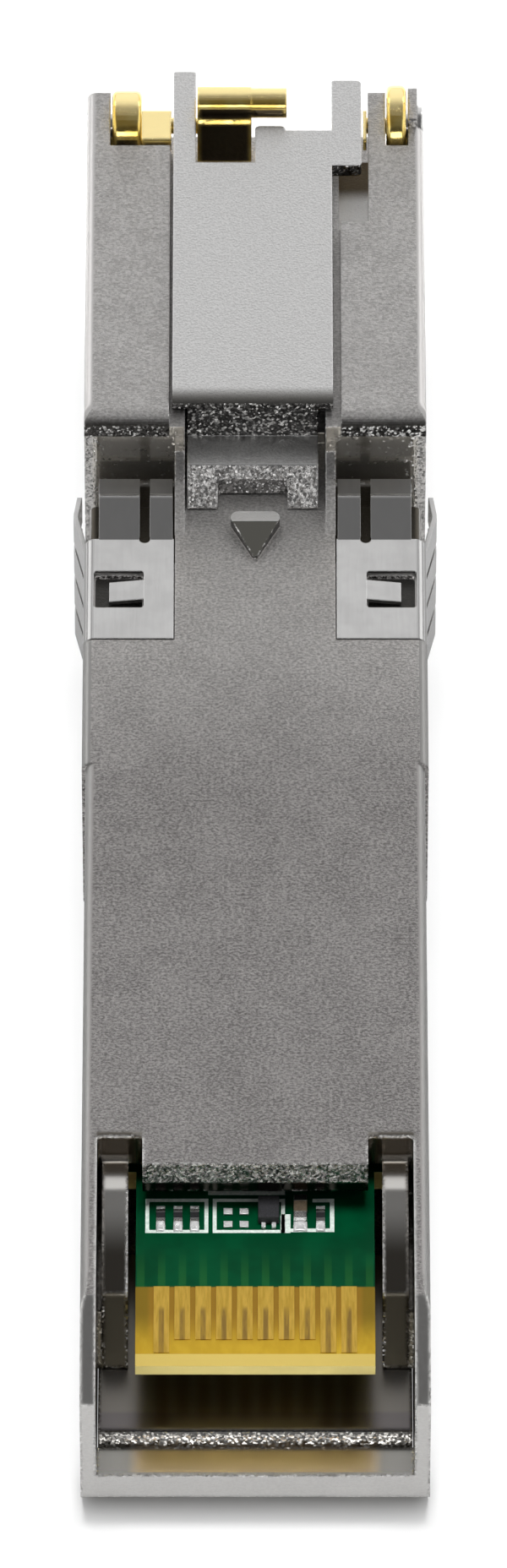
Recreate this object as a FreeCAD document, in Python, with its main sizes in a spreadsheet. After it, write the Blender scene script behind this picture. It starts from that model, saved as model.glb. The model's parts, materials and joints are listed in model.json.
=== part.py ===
import FreeCAD, Part
import math
import os
import Sketcher

# Copper SFP module lying latch side up: X across, +Y toward the jack nose, +Z toward the latch side.
# Every sub-part is drawn from the latch datum (latch shoulder, latch-side face of the body)
# and then moved so that the origin is the middle of the resting footprint.

SIZES = {
    # die-cast shell
    "rear_width": 13.4,
    "front_width": 13.7,
    "body_height": 8.5,
    "tail_reach": 44.7,
    "width_step": 13.2,
    "edge_round": 0.4,
    "corner_round": 0.15,
    "plate_thick": 1.6,
    "cavity_width": 11.6,
    "skirt_thick": 0.6,
    "opening_reach": 34.0,
    "slot_reach": 32.6,
    "slot_inner": 4.35,
    "rim_reach": 40.5,
    "rim_lead": 1.2,
    "rim_lead_drop": 0.06,
    "rim_drop": 1.65,
    "rim_round": 0.3,
    "bar_length": 1.4,
    "bar_top": 5.85,
    "bar_thick": 1.3,
    "ledge_inner": 4.9,
    "ledge_gap": 0.2,
    "ledge_start_gap": 0.05,
    "ledge_depth": 1.2,
    "ledge_flat": 1.6,
    "ledge_reach": 38.5,
    "ledge_foot": 39.9,
    "ledge_round": 0.3,
    "board_rail_grip": 0.55,
    "board_rail_inset": 2.0,
    # jack nose
    "stop_reach": 2.5,
    "nose_reach": 20.8,
    "nose_rise": 3.2,
    "nose_drop": 10.75,
    "nose_back_round": 0.7,
    "rail_reach": 17.8,
    "jack_width": 11.9,
    "jack_top": 1.8,
    "jack_bottom": 10.0,
    "jack_back": 4.0,
    "tab_width": 6.4,
    "tab_depth": 1.6,
    "channel_width": 6.9,
    "channel_floor": 0.62,
    "tine_channel_width": 5.64,
    "tine_mouth_depth": 1.6,
    "slide_shelf": 2.7,
    "ear_thick": 0.95,
    "inner_ear_at": 4.95,
    "inner_ear_thick": 0.7,
    "thin_ear_thick": 0.62,
    "thin_ear_rise": 3.55,
    "thin_ear_skin": 0.25,
    "leg_pocket_floor": 0.65,
    "leg_side_gap": 0.25,
    "prong_recess_back": 13.5,
    "prong_recess_depth": 0.5,
    "shaft_slot_gap": 0.1,
    # latch boss
    "boss_width": 2.4,
    "boss_height": 0.45,
    "boss_flat": 0.55,
    "boss_length": 2.4,
    "boss_round": 0.35,
    "boss_tip_round": 0.15,
    "cheek_thick": 0.4,
    "cheek_rise": 1.3,
    "cheek_brow": 0.8,
    "cheek_brow_drop": 0.35,
    "cheek_reach": 0.9,
    # cover
    "cover_thick": 1.0,
    "cover_gap": 0.06,
    "shoulder_floor": 5.25,
    "shoulder_end": 43.05,
    "shoulder_round": 0.2,
    "shoulder_heel_round": 0.3,
    "pedestal_length": 9.0,
    "pedestal_width": 9.0,
    "pedestal_gap": 5.05,
    "pedestal_round": 0.4,
    # spring collar
    "collar_sheet": 0.2,
    "collar_recess": 0.22,
    "collar_bend": 0.5,
    "collar_back": 6.5,
    "collar_back_gap": 0.08,
    "collar_front": 1.1,
    "collar_inner": 3.25,
    "finger_peak": 0.85,
    "finger_tip": 1.9,
    "finger_rise": 0.45,
    "finger_tip_rise": 0.3,
    "finger_bend": 0.6,
    "finger_slit": 0.4,
    "finger_share": 0.38,
    "slit_eye": 0.22,
    "tip_room": 0.6,
    "corner_gap": 0.6,
    "panel_inset": 0.05,
    "lance_front": 1.75,
    "lance_root": 1.19,
    "lance_length": 2.0,
    "lance_window": 0.62,
    "lance_depth": 1.98,
    "lance_slit": 0.47,
    "lance_dip": 0.18,
    "lance_pocket": 0.2,
    "lance_rim": 0.06,
    # latch slide
    "slide_width": 6.44,
    "slide_shift": 0.1,
    "slide_top": 3.45,
    "slide_plate": 0.6,
    "slide_back": 3.35,
    "slide_back_round": 0.55,
    "slide_ledge": 1.3,
    "slide_floor_gap": 0.1,
    "tine_width": 5.24,
    "tine_tip": 0.5,
    "tine_clear": 0.06,
    "tine_root": 1.5,
    "tine_notch_width": 2.8,
    "tine_notch_back": 1.34,
    "tine_round": 0.25,
    "neck_front": 15.9,
    "left_prong_reach": 21.75,
    "right_prong_reach": 21.25,
    "prong_width": 0.9,
    "prong_round": 0.1,
    "cam_notch_back": 16.6,
    "cam_notch_width": 2.42,
    "drive_step_reach": 18.65,
    "drive_step_width": 1.23,
    "step_round": 0.2,
    "low_step_reach": 18.4,
    "outrigger_width": 1.2,
    "outrigger_back": 16.4,
    # release bail
    "pivot_reach": 19.7,
    "pivot_rise": 2.4,
    "left_drum_radius": 1.42,
    "right_drum_radius": 1.65,
    "drum_rim": 0.22,
    "left_drum_width": 1.2,
    "right_drum_width": 0.8,
    "drum_gap": 0.08,
    "shaft_radius": 0.33,
    "web_back": 1.2,
    "web_front": 0.6,
    "web_top": 0.35,
    "web_under": 0.3,
    "web_gap": 0.1,
    "right_web_gap": 0.06,
    "right_web_width": 0.14,
    "cam_gap": 0.07,
    "cam_step_gap": 0.15,
    "cam_back": 0.75,
    "cam_front": 0.65,
    "cam_drop": 1.6,
    "cam_round": 0.45,
    "cam_brow": 0.8,
    "cam_crest": 1.05,
    "cam_edge_round": 0.12,
    "cam_fold_round": 0.2,
    "crank_radius": 0.61,
    "crank_throw": 1.33,
    "crank_overrun": 0.05,
    "leg_half": 0.9,
    "leg_heel": 0.35,
    "frame_gap": 0.15,
    "frame_thick": 0.9,
    "frame_top": 0.45,
    "frame_foot": 0.9,
    "frame_round": 0.3,
    "frame_corner": 0.6,
    "frame_side_gap": 0.02,
    "frame_bar": 0.65,
    "grip_width": 6.0,
    "grip_lip": 0.75,
    "grip_taper": 0.4,
    "pin_radius": 0.5,
    "pin_fit": 0.01,
    "bore_play": 0.03,
    "bore_end": 0.1,
    "left_head_radius": 0.55,
    "right_head_radius": 0.85,
    "pin_head": 0.45,
    "head_play": 0.03,
    "head_round": 0.12,
    "left_stem": 0.85,
    "right_stem": 0.45,
    # board
    "board_width": 9.2,
    "board_body_width": 11.1,
    "board_thick": 1.0,
    "board_face": 2.35,
    "board_reach": 41.95,
    "board_shoulder": 32.4,
    "board_front": 3.5,
    "board_round": 0.3,
    "bevel_length": 0.4,
    "bevel_depth": 0.25,
    "pad_pitch": 0.8,
    "pad_width": 0.6,
    "pad_thick": 0.04,
    "pad_start": 38.2,
    "pad_long_end": 41.5,
    "pad_short_end": 40.85,
    # small parts behind the card edge, placed from the start of the fingers
    "small_row": 3.44,
    "resistor_length": 0.62,
    "resistor_width": 0.34,
    "resistor_height": 0.23,
    "joint_length": 0.32,
    "joint_height": 0.2,
    "joint_gap": 0.02,
    "bare_pad_width": 0.34,
    "bare_pad_length": 0.3,
    "bare_pad_rise": 0.07,
    "bare_pad_pitch": 0.65,
    "sot_width": 0.82,
    "sot_length": 1.1,
    "sot_height": 0.42,
    "sot_leg_width": 0.16,
    "sot_leg_length": 0.22,
    "sot_leg_at": 0.2,
    "sot_leg_rise": 0.14,
    "capacitor_width": 0.52,
    "capacitor_length": 1.2,
    "capacitor_height": 0.42,
    "chip_round": 0.05,
    # packages inside
    "phy_size": 8.0,
    "phy_height": 1.15,
    "heat_pad_size": 7.2,
    "transformer_inset": 5.5,
    "transformer_width": 10.2,
    "transformer_length": 9.2,
    "transformer_height": 3.3,
    "crystal_width": 2.5,
    "crystal_length": 2.0,
    "crystal_height": 0.6,
    "memory_width": 3.0,
    "memory_length": 2.0,
    "memory_height": 0.75,
    "inductor_width": 2.6,
    "inductor_length": 2.1,
    "inductor_height": 1.2,
    "package_gap": 0.6,
    "package_round": 0.08,
    # jack insert and contacts
    "insert_back": 5.75,
    "insert_front": 9.3,
    "insert_tongue": 17.8,
    "insert_side_gap": 0.2,
    "insert_roof_gap": 0.1,
    "insert_floor_gap": 0.02,
    "insert_under": 0.75,
    "insert_brow": 0.8,
    "insert_round": 0.3,
    "tongue_thick": 0.26,
    "tongue_inset": 0.1,
    "rib_width": 1.2,
    "contact_pitch": 1.02,
    "contact_radius": 0.17,
    "contact_gap": 0.02,
    "contact_bend": 0.35,
    "contact_back_gap": 0.05,
    "contact_lead": 1.6,
    "contact_end_gap": 0.6,
    "contact_rise": 2.9,
    "contact_return": 0.7,
}

doc = FreeCAD.newDocument("copper_sfp_module")
sheet = doc.addObject("Spreadsheet::Sheet", "Sheet")


class Size:
    """A length that carries its number and the sheet formula behind it."""

    def __init__(self, value, formula):
        self.value = value
        self.formula = formula

    def __add__(self, other):
        other = as_size(other)
        return Size(self.value + other.value, f"({self.formula} + {other.formula})")

    def __sub__(self, other):
        other = as_size(other)
        return Size(self.value - other.value, f"({self.formula} - {other.formula})")

    def __mul__(self, other):
        other = as_size(other)
        return Size(self.value * other.value, f"({self.formula} * {other.formula})")

    def __truediv__(self, other):
        other = as_size(other)
        return Size(self.value / other.value, f"({self.formula} / {other.formula})")

    def __neg__(self):
        return Size(-self.value, f"(0 - {self.formula})")

    def __radd__(self, other):
        return as_size(other) + self

    def __rsub__(self, other):
        return as_size(other) - self

    def __rmul__(self, other):
        return as_size(other) * self


def as_size(number):
    if isinstance(number, Size):
        return number
    return Size(float(number), f"({float(number)!r})")


class Sheet:
    """Gives each named dimension of the spreadsheet as a Size."""

    def __getattr__(self, name):
        return Size(SIZES[name], f"Sheet.{name}")


for row, (name, value) in enumerate(SIZES.items(), 1):
    sheet.set(f"A{row}", name)
    sheet.set(f"B{row}", str(value))
    sheet.setAlias(f"B{row}", name)
doc.recompute()
s = Sheet()

# Shift from the latch datum to the origin under the middle of the part.
frame_front = s.nose_reach + s.frame_gap + s.frame_thick
part_front = frame_front + s.grip_lip
shift_y = (s.tail_reach - part_front) / 2
shift_z = s.nose_drop

PLANE_SIGN = {"XY": 1, "YZ": 1, "XZ": -1}


def bind(thing, prop, size):
    thing.setExpression(prop, as_size(size).formula)


def settle(thing):
    """Moves a finished object from the latch datum to the part's origin."""
    bind(thing, "Placement.Base.y", shift_y)
    bind(thing, "Placement.Base.z", shift_z)


def new_body(name):
    body = doc.addObject("PartDesign::Body", name)
    body.Label = name
    settle(body)
    return body


def new_sketch(body, name, plane, level):
    sketch = body.newObject("Sketcher::SketchObject", name)
    support = [f for f in body.Origin.OriginFeatures if f.Role == f"{plane}_Plane"][0]
    sketch.AttachmentSupport = [(support, "")]
    sketch.MapMode = "FlatFace"
    bind(sketch, "AttachmentOffset.Base.z", as_size(level) * PLANE_SIGN[plane])
    return sketch


def fix_point(sketch, item, end, u, v):
    for kind, size in (("DistanceX", u), ("DistanceY", v)):
        index = sketch.addConstraint(Sketcher.Constraint(kind, item, end, size.value))
        bind(sketch, f"Constraints[{index}]", size)


def fix_radius(sketch, item, radius):
    index = sketch.addConstraint(Sketcher.Constraint("Radius", item, radius.value))
    bind(sketch, f"Constraints[{index}]", radius)


def draw_circle(sketch, u, v, radius):
    u, v, radius = as_size(u), as_size(v), as_size(radius)
    centre = FreeCAD.Vector(u.value, v.value, 0)
    circle = sketch.addGeometry(Part.Circle(centre, FreeCAD.Vector(0, 0, 1), radius.value), False)
    fix_point(sketch, circle, 3, u, v)
    fix_radius(sketch, circle, radius)


def draw_outline(sketch, corners):
    """Closed outline through the corners; a third value rounds that corner."""
    corners = [tuple(as_size(part) for part in corner) for corner in corners]
    count = len(corners)
    spots = [FreeCAD.Vector(corner[0].value, corner[1].value, 0) for corner in corners]
    entries = list(spots)
    exits = list(spots)
    arcs = {}
    for i, corner in enumerate(corners):
        if len(corner) < 3:
            continue
        radius = corner[2].value
        back = (spots[i - 1] - spots[i]).normalize()
        ahead = (spots[(i + 1) % count] - spots[i]).normalize()
        half = back.getAngle(ahead) / 2
        entries[i] = spots[i] + back * (radius / math.tan(half))
        exits[i] = spots[i] + ahead * (radius / math.tan(half))
        centre = spots[i] + (back + ahead).normalize() * (radius / math.sin(half))
        left_turn = ahead.cross(back).z > 0
        first, last = (entries[i], exits[i]) if left_turn else (exits[i], entries[i])
        start = math.atan2(first.y - centre.y, first.x - centre.x)
        stop = math.atan2(last.y - centre.y, last.x - centre.x)
        if stop < start:
            stop += 2 * math.pi
        circle = Part.Circle(centre, FreeCAD.Vector(0, 0, 1), radius)
        arcs[i] = (sketch.addGeometry(Part.ArcOfCircle(circle, start, stop), False), left_turn)
    lines = []
    for i in range(count):
        segment = Part.LineSegment(exits[i], entries[(i + 1) % count])
        lines.append(sketch.addGeometry(segment, False))
    for i, corner in enumerate(corners):
        before, after = lines[i - 1], lines[i]
        if i not in arcs:
            sketch.addConstraint(Sketcher.Constraint("Coincident", before, 2, after, 1))
            fix_point(sketch, after, 1, corner[0], corner[1])
            continue
        arc, left_turn = arcs[i]
        first, last = (1, 2) if left_turn else (2, 1)
        sketch.addConstraint(Sketcher.Constraint("Tangent", before, 2, arc, first))
        sketch.addConstraint(Sketcher.Constraint("Tangent", arc, last, after, 1))
        fix_radius(sketch, arc, corner[2])
        tip = sketch.addGeometry(Part.Point(spots[i]), True)
        fix_point(sketch, tip, 1, corner[0], corner[1])
        sketch.addConstraint(Sketcher.Constraint("PointOnObject", tip, 1, before))
        sketch.addConstraint(Sketcher.Constraint("PointOnObject", tip, 1, after))


def box_corners(u_low, u_high, v_low, v_high, *radius):
    return [(u_low, v_low, *radius), (u_high, v_low, *radius),
            (u_high, v_high, *radius), (u_low, v_high, *radius)]


def feature(body, kind, name, plane, level, reach, draw):
    sketch = new_sketch(body, f"{name}_sketch", plane, level)
    draw(sketch)
    solid = body.newObject(f"PartDesign::{kind}", name)
    solid.Profile = sketch
    bind(solid, "Length", reach)
    sketch.Visibility = False
    return solid


def add(body, name, plane, corners, low, high):
    """Pads a closed outline between two levels along the plane's axis."""
    low, high = as_size(low), as_size(high)
    level = low if PLANE_SIGN[plane] > 0 else high
    return feature(body, "Pad", name, plane, level, high - low, lambda k: draw_outline(k, corners))


def cut(body, name, plane, corners, low, high):
    """Pockets a closed outline between two levels along the plane's axis."""
    low, high = as_size(low), as_size(high)
    level = high if PLANE_SIGN[plane] > 0 else low
    return feature(body, "Pocket", name, plane, level, high - low, lambda k: draw_outline(k, corners))


def add_round(body, name, plane, u, v, radius, low, high):
    low, high = as_size(low), as_size(high)
    level = low if PLANE_SIGN[plane] > 0 else high
    return feature(body, "Pad", name, plane, level, high - low, lambda k: draw_circle(k, u, v, radius))


def cut_round(body, name, plane, u, v, radius, low, high):
    low, high = as_size(low), as_size(high)
    level = high if PLANE_SIGN[plane] > 0 else low
    return feature(body, "Pocket", name, plane, level, high - low, lambda k: draw_circle(k, u, v, radius))


def block(name, x_low, x_high, y_low, y_high, z_low, z_high):
    """A plain box given by its limits from the latch datum."""
    box = doc.addObject("Part::Box", name)
    x_low, y_low, z_low = as_size(x_low), as_size(y_low), as_size(z_low)
    bind(box, "Length", as_size(x_high) - x_low)
    bind(box, "Width", as_size(y_high) - y_low)
    bind(box, "Height", as_size(z_high) - z_low)
    bind(box, "Placement.Base.x", x_low)
    bind(box, "Placement.Base.y", y_low + shift_y)
    bind(box, "Placement.Base.z", z_low + shift_z)
    return box


def group(name, members):
    """Several separate solids that make one sub-part."""
    compound = doc.addObject("Part::Compound", name)
    compound.Label = name
    compound.Links = members
    return compound


def add_turned(body, name, corners, axis_at, level):
    """Turns a closed outline, drawn on the XY plane, about a line along X."""
    axis_at = as_size(axis_at)
    sketch = new_sketch(body, f"{name}_sketch", "XY", level)
    ends = [FreeCAD.Vector(0, axis_at.value, 0), FreeCAD.Vector(1, axis_at.value, 0)]
    axis = sketch.addGeometry(Part.LineSegment(*ends), True)
    fix_point(sketch, axis, 1, as_size(0), axis_at)
    fix_point(sketch, axis, 2, as_size(1), axis_at)
    draw_outline(sketch, corners)
    solid = body.newObject("PartDesign::Revolution", name)
    solid.Profile = sketch
    solid.ReferenceAxis = (sketch, ["Axis0"])
    solid.Angle = 360
    sketch.Visibility = False
    return solid


def round_outer_edge(body, name, y, z, radius, y_out, z_out, low, high):
    """Rounds an edge that runs across the part; y_out and z_out point away from the metal."""
    y, z = y + HAIR * y_out, z + HAIR * z_out
    clear = 2 * radius
    cut(body, name, "YZ",
        [(y, z - clear * z_out), (y, z, radius), (y - clear * y_out, z),
         (y - clear * y_out, z + past * z_out), (y + past * y_out, z + past * z_out),
         (y + past * y_out, z - clear * z_out)], low, high)


# How far cuts run past the metal, how far joined features overlap, and the least offset of a cut.
past = 1.0
EASE = 0.05
HAIR = 0.004

# Widths and levels shared by several sub-parts.
rear_half = s.rear_width / 2
front_half = s.front_width / 2
cavity_half = s.cavity_width / 2
skirt_half = rear_half - s.skirt_thick
label_face = -s.body_height
board_back_face = -(s.board_face + s.board_thick)
cover_inner = label_face + s.cover_thick
bar_front = s.tail_reach - s.bar_length
bar_under = s.bar_top + s.bar_thick
tail_taper = s.body_height - bar_under
channel_half = s.channel_width / 2
tine_channel_half = s.tine_channel_width / 2
inner_ear_low = s.inner_ear_at - s.inner_ear_thick / 2
inner_ear_high = s.inner_ear_at + s.inner_ear_thick / 2
ear_low = front_half - s.ear_thick
thin_ear_low = front_half - s.thin_ear_thick
ear_skin = front_half - s.thin_ear_skin
panel_low = s.collar_inner + s.panel_inset
panel_high = front_half - s.corner_gap
lance_high = -s.collar_front - s.lance_front
lance_low = lance_high - s.lance_depth
lance_root = s.collar_inner + s.lance_root
lance_end = lance_root + s.lance_length
slide_left = -s.slide_shift - s.slide_width / 2
slide_right = -s.slide_shift + s.slide_width / 2
prong_inner = slide_left + s.prong_width
drive_step_left = prong_inner + s.cam_notch_width
drive_step_right = drive_step_left + s.drive_step_width
left_drum = (-ear_low + s.drum_gap, -ear_low + s.drum_gap + s.left_drum_width)
right_drum = (thin_ear_low - s.drum_gap - s.right_drum_width, thin_ear_low - s.drum_gap)
phy_middle = s.board_shoulder - s.pedestal_length
small_row = -(s.pad_start - s.small_row)


def mirrored(name, low, high):
    """The same span across X on the left and on the right."""
    return ((f"{name}_left", -high, -low), (f"{name}_right", low, high))


def shell_section(half, top, bottom):
    """Cross-section of the casting with rounded long edges."""
    return box_corners(-half, half, bottom, top, s.edge_round)


def build_base_housing():
    body = new_body("base_housing")
    add(body, "rear_block", "XZ", shell_section(rear_half, 0, label_face), -s.tail_reach, -s.width_step)
    add(body, "front_block", "XZ", shell_section(front_half, 0, label_face), -s.width_step, s.stop_reach)
    add(body, "nose_block", "XZ", shell_section(front_half, s.nose_rise, -s.nose_drop),
        s.stop_reach, s.nose_reach)
    round_outer_edge(body, "nose_back_edge", s.stop_reach, s.nose_rise, s.nose_back_round, -1, 1,
                     -front_half - past, front_half + past)
    cut_body_hollow(body)
    shape_tail(body)
    cut_collar_recess(body)
    cut_slide_channel(body)
    shape_ears(body)
    add_latch_boss(body)
    return body


def cut_body_hollow(body):
    """Board bay, open on the label side where the cover goes, and the jack opening."""
    cut(body, "board_bay", "XZ",
        box_corners(-cavity_half, cavity_half, label_face - past, -s.plate_thick),
        -bar_front, s.stop_reach)
    cut(body, "bay_mouth", "XZ",
        box_corners(-cavity_half, cavity_half, label_face + EASE, -s.jack_top),
        s.stop_reach - EASE, s.jack_back)
    cut(body, "jack_cavity", "XZ",
        box_corners(-s.jack_width / 2, s.jack_width / 2, -s.jack_bottom, -s.jack_top),
        s.jack_back - EASE, s.nose_reach + past)
    cut(body, "jack_tab_slot", "XZ",
        box_corners(-s.tab_width / 2, s.tab_width / 2, -s.jack_top - EASE, -s.jack_top + s.tab_depth),
        s.insert_front, s.nose_reach + past)
    grip = s.board_body_width / 2 - s.board_rail_grip
    for name, low, high in mirrored("board_rail", grip, cavity_half + EASE):
        add(body, name, "XZ", box_corners(low, high, -s.board_face, -s.plate_thick + EASE),
            -s.slot_reach + s.board_rail_inset, s.stop_reach - past)


def shape_tail(body):
    """Open tail: thin skirts joined by a bar, the plate cut back with a slot at each corner."""
    cut(body, "tail_opening", "XY",
        [(-skirt_half, -s.tail_reach - past), (skirt_half, -s.tail_reach - past),
         (skirt_half, -s.slot_reach, s.corner_round), (s.slot_inner, -s.slot_reach, s.corner_round),
         (s.slot_inner, -s.opening_reach), (-s.slot_inner, -s.opening_reach),
         (-s.slot_inner, -s.slot_reach, s.corner_round), (-skirt_half, -s.slot_reach, s.corner_round)],
        -s.bar_top, past)
    cut(body, "skirt_thinning", "XZ",
        box_corners(-skirt_half, skirt_half, label_face - past, -s.bar_top + EASE),
        -bar_front, -s.opening_reach)
    rim_start = -s.rim_reach + s.rim_lead
    cut(body, "rim_slope", "YZ",
        [(rim_start, past), (rim_start, 0), (-s.rim_reach, -s.rim_lead_drop),
         (-s.tail_reach, -s.rim_drop, s.rim_round), (-s.tail_reach - past, -s.rim_drop),
         (-s.tail_reach - past, past)],
        -front_half, front_half)
    cut(body, "tail_lead_in", "YZ",
        [(-s.tail_reach - past, -bar_under + EASE), (-s.tail_reach, -bar_under),
         (-s.tail_reach + tail_taper, label_face), (-s.tail_reach + tail_taper, label_face - past),
         (-s.tail_reach - past, label_face - past)],
        -front_half, front_half)
    # posts beside the board, each joined to its skirt below a narrow groove
    start = -s.slot_reach - s.ledge_start_gap
    floor = -s.shoulder_floor + EASE
    for name, low, high in mirrored("ledge", s.ledge_inner, skirt_half - s.ledge_gap):
        add(body, name, "YZ",
            [(start, -s.ledge_depth, s.ledge_round), (start, floor), (-s.ledge_foot, floor),
             (-s.ledge_reach, -s.board_face, s.corner_round), (start - s.ledge_flat, -s.ledge_depth)],
            low, high)
    for name, low, high in mirrored("ledge_root", s.ledge_inner, skirt_half + EASE):
        add(body, name, "YZ",
            [(start, board_back_face), (start, floor), (-s.ledge_foot, floor),
             (-s.ledge_reach, board_back_face)], low, high)


def cut_collar_recess(body):
    """Seat of the spring collar, with clear room ahead of the finger tips and under the snap tabs."""
    inner_half = front_half - s.collar_recess
    inner_round = s.collar_bend - s.collar_recess
    seat = s.collar_inner - EASE
    seat_low = label_face + s.collar_recess
    cut(body, "collar_seat", "XZ",
        [(-front_half - past, past), (-seat, past), (-seat, -s.collar_recess),
         (-inner_half, -s.collar_recess, inner_round), (-inner_half, seat_low, inner_round),
         (inner_half, seat_low, inner_round), (inner_half, -s.collar_recess, inner_round),
         (seat, -s.collar_recess), (seat, past), (front_half + past, past),
         (front_half + past, label_face - past), (-front_half - past, label_face - past)],
        -s.collar_back - s.collar_back_gap, s.stop_reach)
    for name, low, high in mirrored("tip_room", seat, front_half + past):
        cut(body, name, "XZ", box_corners(low, high, -s.tip_room, past), s.finger_peak, s.stop_reach)
    for name, low, high in mirrored("side_room", front_half - s.tip_room, front_half + past):
        cut(body, name, "XZ", box_corners(low, high, label_face - past, past), s.finger_peak, s.stop_reach)
    for name, low, high in mirrored("snap_pocket", lance_root + s.lance_rim, lance_end - s.lance_rim):
        cut(body, name, "XY",
            box_corners(low, high, lance_low + s.lance_rim, lance_high - s.lance_rim, s.corner_round),
            -s.collar_recess - s.lance_pocket, past)


def cut_slide_channel(body):
    """Stepped channel of the latch slide along the nose."""
    cut(body, "slide_channel", "XZ",
        box_corners(-channel_half, channel_half, s.slide_shelf, s.nose_rise + past),
        s.stop_reach - EASE, s.nose_reach + past)
    mouth = s.stop_reach + s.tine_mouth_depth
    cut(body, "tine_channel", "XZ",
        box_corners(-tine_channel_half, tine_channel_half, s.channel_floor, s.slide_shelf + EASE),
        mouth, s.nose_reach + past)
    cut(body, "tine_mouth", "XZ",
        box_corners(-tine_channel_half, tine_channel_half, 0, s.slide_shelf + EASE),
        s.stop_reach - EASE, mouth + EASE)
    cut(body, "prong_recess", "XY",
        box_corners(channel_half - EASE, inner_ear_low, s.prong_recess_back, s.rail_reach + EASE),
        s.slide_shelf - s.prong_recess_depth, s.nose_rise + past)


def shape_ears(body):
    """Ears that carry the bail, with room for its drums, legs and crank."""
    front = s.nose_reach + past
    top = s.nose_rise + past
    cut(body, "cam_pocket", "XZ",
        box_corners(-ear_low, inner_ear_low, s.channel_floor, top), s.rail_reach, front)
    cut(body, "left_leg_pocket", "XZ",
        box_corners(-ear_low, left_drum[1] + s.leg_side_gap, -s.leg_pocket_floor, s.nose_rise),
        s.rail_reach, front)
    cut(body, "right_leg_pocket", "XZ",
        box_corners(inner_ear_high, thin_ear_low, -s.leg_pocket_floor, top), s.rail_reach, front)
    ear_back = s.pivot_reach - s.right_head_radius
    add(body, "thin_ear_tip", "YZ",
        [(ear_back, s.nose_rise - EASE), (s.nose_reach, s.nose_rise - EASE),
         (s.nose_reach, s.thin_ear_rise, s.corner_round), (ear_back, s.thin_ear_rise, s.corner_round)],
        thin_ear_low, ear_skin)
    cut(body, "thin_ear_relief", "YZ",
        box_corners(ear_back, front, s.pivot_rise, top), ear_skin, front_half + past)
    cut(body, "shaft_slot", "YZ",
        box_corners(s.pivot_reach - s.shaft_radius - s.shaft_slot_gap, front,
                    s.pivot_rise - s.shaft_radius - s.shaft_slot_gap,
                    s.pivot_rise + s.shaft_radius + s.shaft_slot_gap, s.corner_round),
        inner_ear_low - EASE, inner_ear_high + EASE)
    holes = (("left_pin_hole", s.pin_radius, -front_half - past, -ear_low + EASE),
             ("left_pin_seat", s.left_head_radius, -front_half - past, -front_half + s.pin_head),
             ("right_pin_hole", s.pin_radius, thin_ear_low - EASE, front_half + past),
             ("right_pin_seat", s.right_head_radius, ear_skin, front_half + past))
    for name, radius, low, high in holes:
        cut_round(body, name, "YZ", s.pivot_reach, s.pivot_rise, radius, low, high)


def add_latch_boss(body):
    """Triangular boss with its ramp, and the low cheeks beside the slide's tines."""
    boss_half = s.boss_width / 2
    add(body, "latch_boss", "XY",
        [(-boss_half, 0, s.boss_round), (0, -s.boss_length, s.boss_tip_round),
         (boss_half, 0, s.boss_round)], -EASE, s.boss_height)
    cut(body, "boss_ramp", "YZ",
        [(-s.boss_flat, s.boss_height), (-s.boss_length - past, 0), (-s.boss_length - past, past),
         (-s.boss_flat, past)], -boss_half - EASE, boss_half + EASE)
    back = s.stop_reach + EASE
    brow = s.cheek_rise - s.cheek_brow_drop
    for name, low, high in mirrored("cheek", tine_channel_half, tine_channel_half + s.cheek_thick):
        add(body, name, "YZ",
            [(back, -EASE), (back, s.cheek_rise), (s.stop_reach - s.cheek_brow, brow),
             (-s.cheek_reach, 0), (-s.cheek_reach, -EASE)], low, high)


def build_top_cover():
    body = new_body("top_cover")
    half = cavity_half - s.cover_gap
    front = s.stop_reach - s.cover_gap
    shoulder_start = -s.opening_reach - s.cover_gap
    add(body, "plate", "XZ", box_corners(-half, half, label_face, cover_inner),
        shoulder_start - EASE, front)
    # thick rear shoulder that hooks in front of the tail bar and backs the host connector
    shoulder_half = skirt_half - s.cover_gap
    add(body, "rear_shoulder", "YZ",
        [(-s.shoulder_end, -s.shoulder_floor, s.shoulder_round),
         (-s.shoulder_end, label_face, s.shoulder_heel_round), (shoulder_start, label_face),
         (shoulder_start, -s.shoulder_floor)], -shoulder_half, shoulder_half)
    cut(body, "collar_relief", "XZ",
        box_corners(-half - past, half + past, label_face - past, label_face + s.collar_recess),
        -s.collar_back - s.collar_back_gap, front + past)
    add(body, "heat_pedestal", "XY",
        box_corners(-s.pedestal_width / 2, s.pedestal_width / 2, -phy_middle - s.pedestal_length / 2,
                    -phy_middle + s.pedestal_length / 2, s.pedestal_round),
        cover_inner - EASE, -s.pedestal_gap)
    return body


def finger_profile(face):
    """Bent spring finger: rises from the flat sheet to a crest and dips again at the tip."""
    root = -s.collar_front - EASE
    crest = face + s.finger_rise
    tip = face + s.finger_tip_rise
    sheet = s.collar_sheet
    return [(root, face - sheet), (root, face), (s.finger_peak, crest, s.finger_bend), (s.finger_tip, tip),
            (s.finger_tip, tip - sheet), (s.finger_peak, crest - sheet, s.finger_bend - sheet)]


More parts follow.
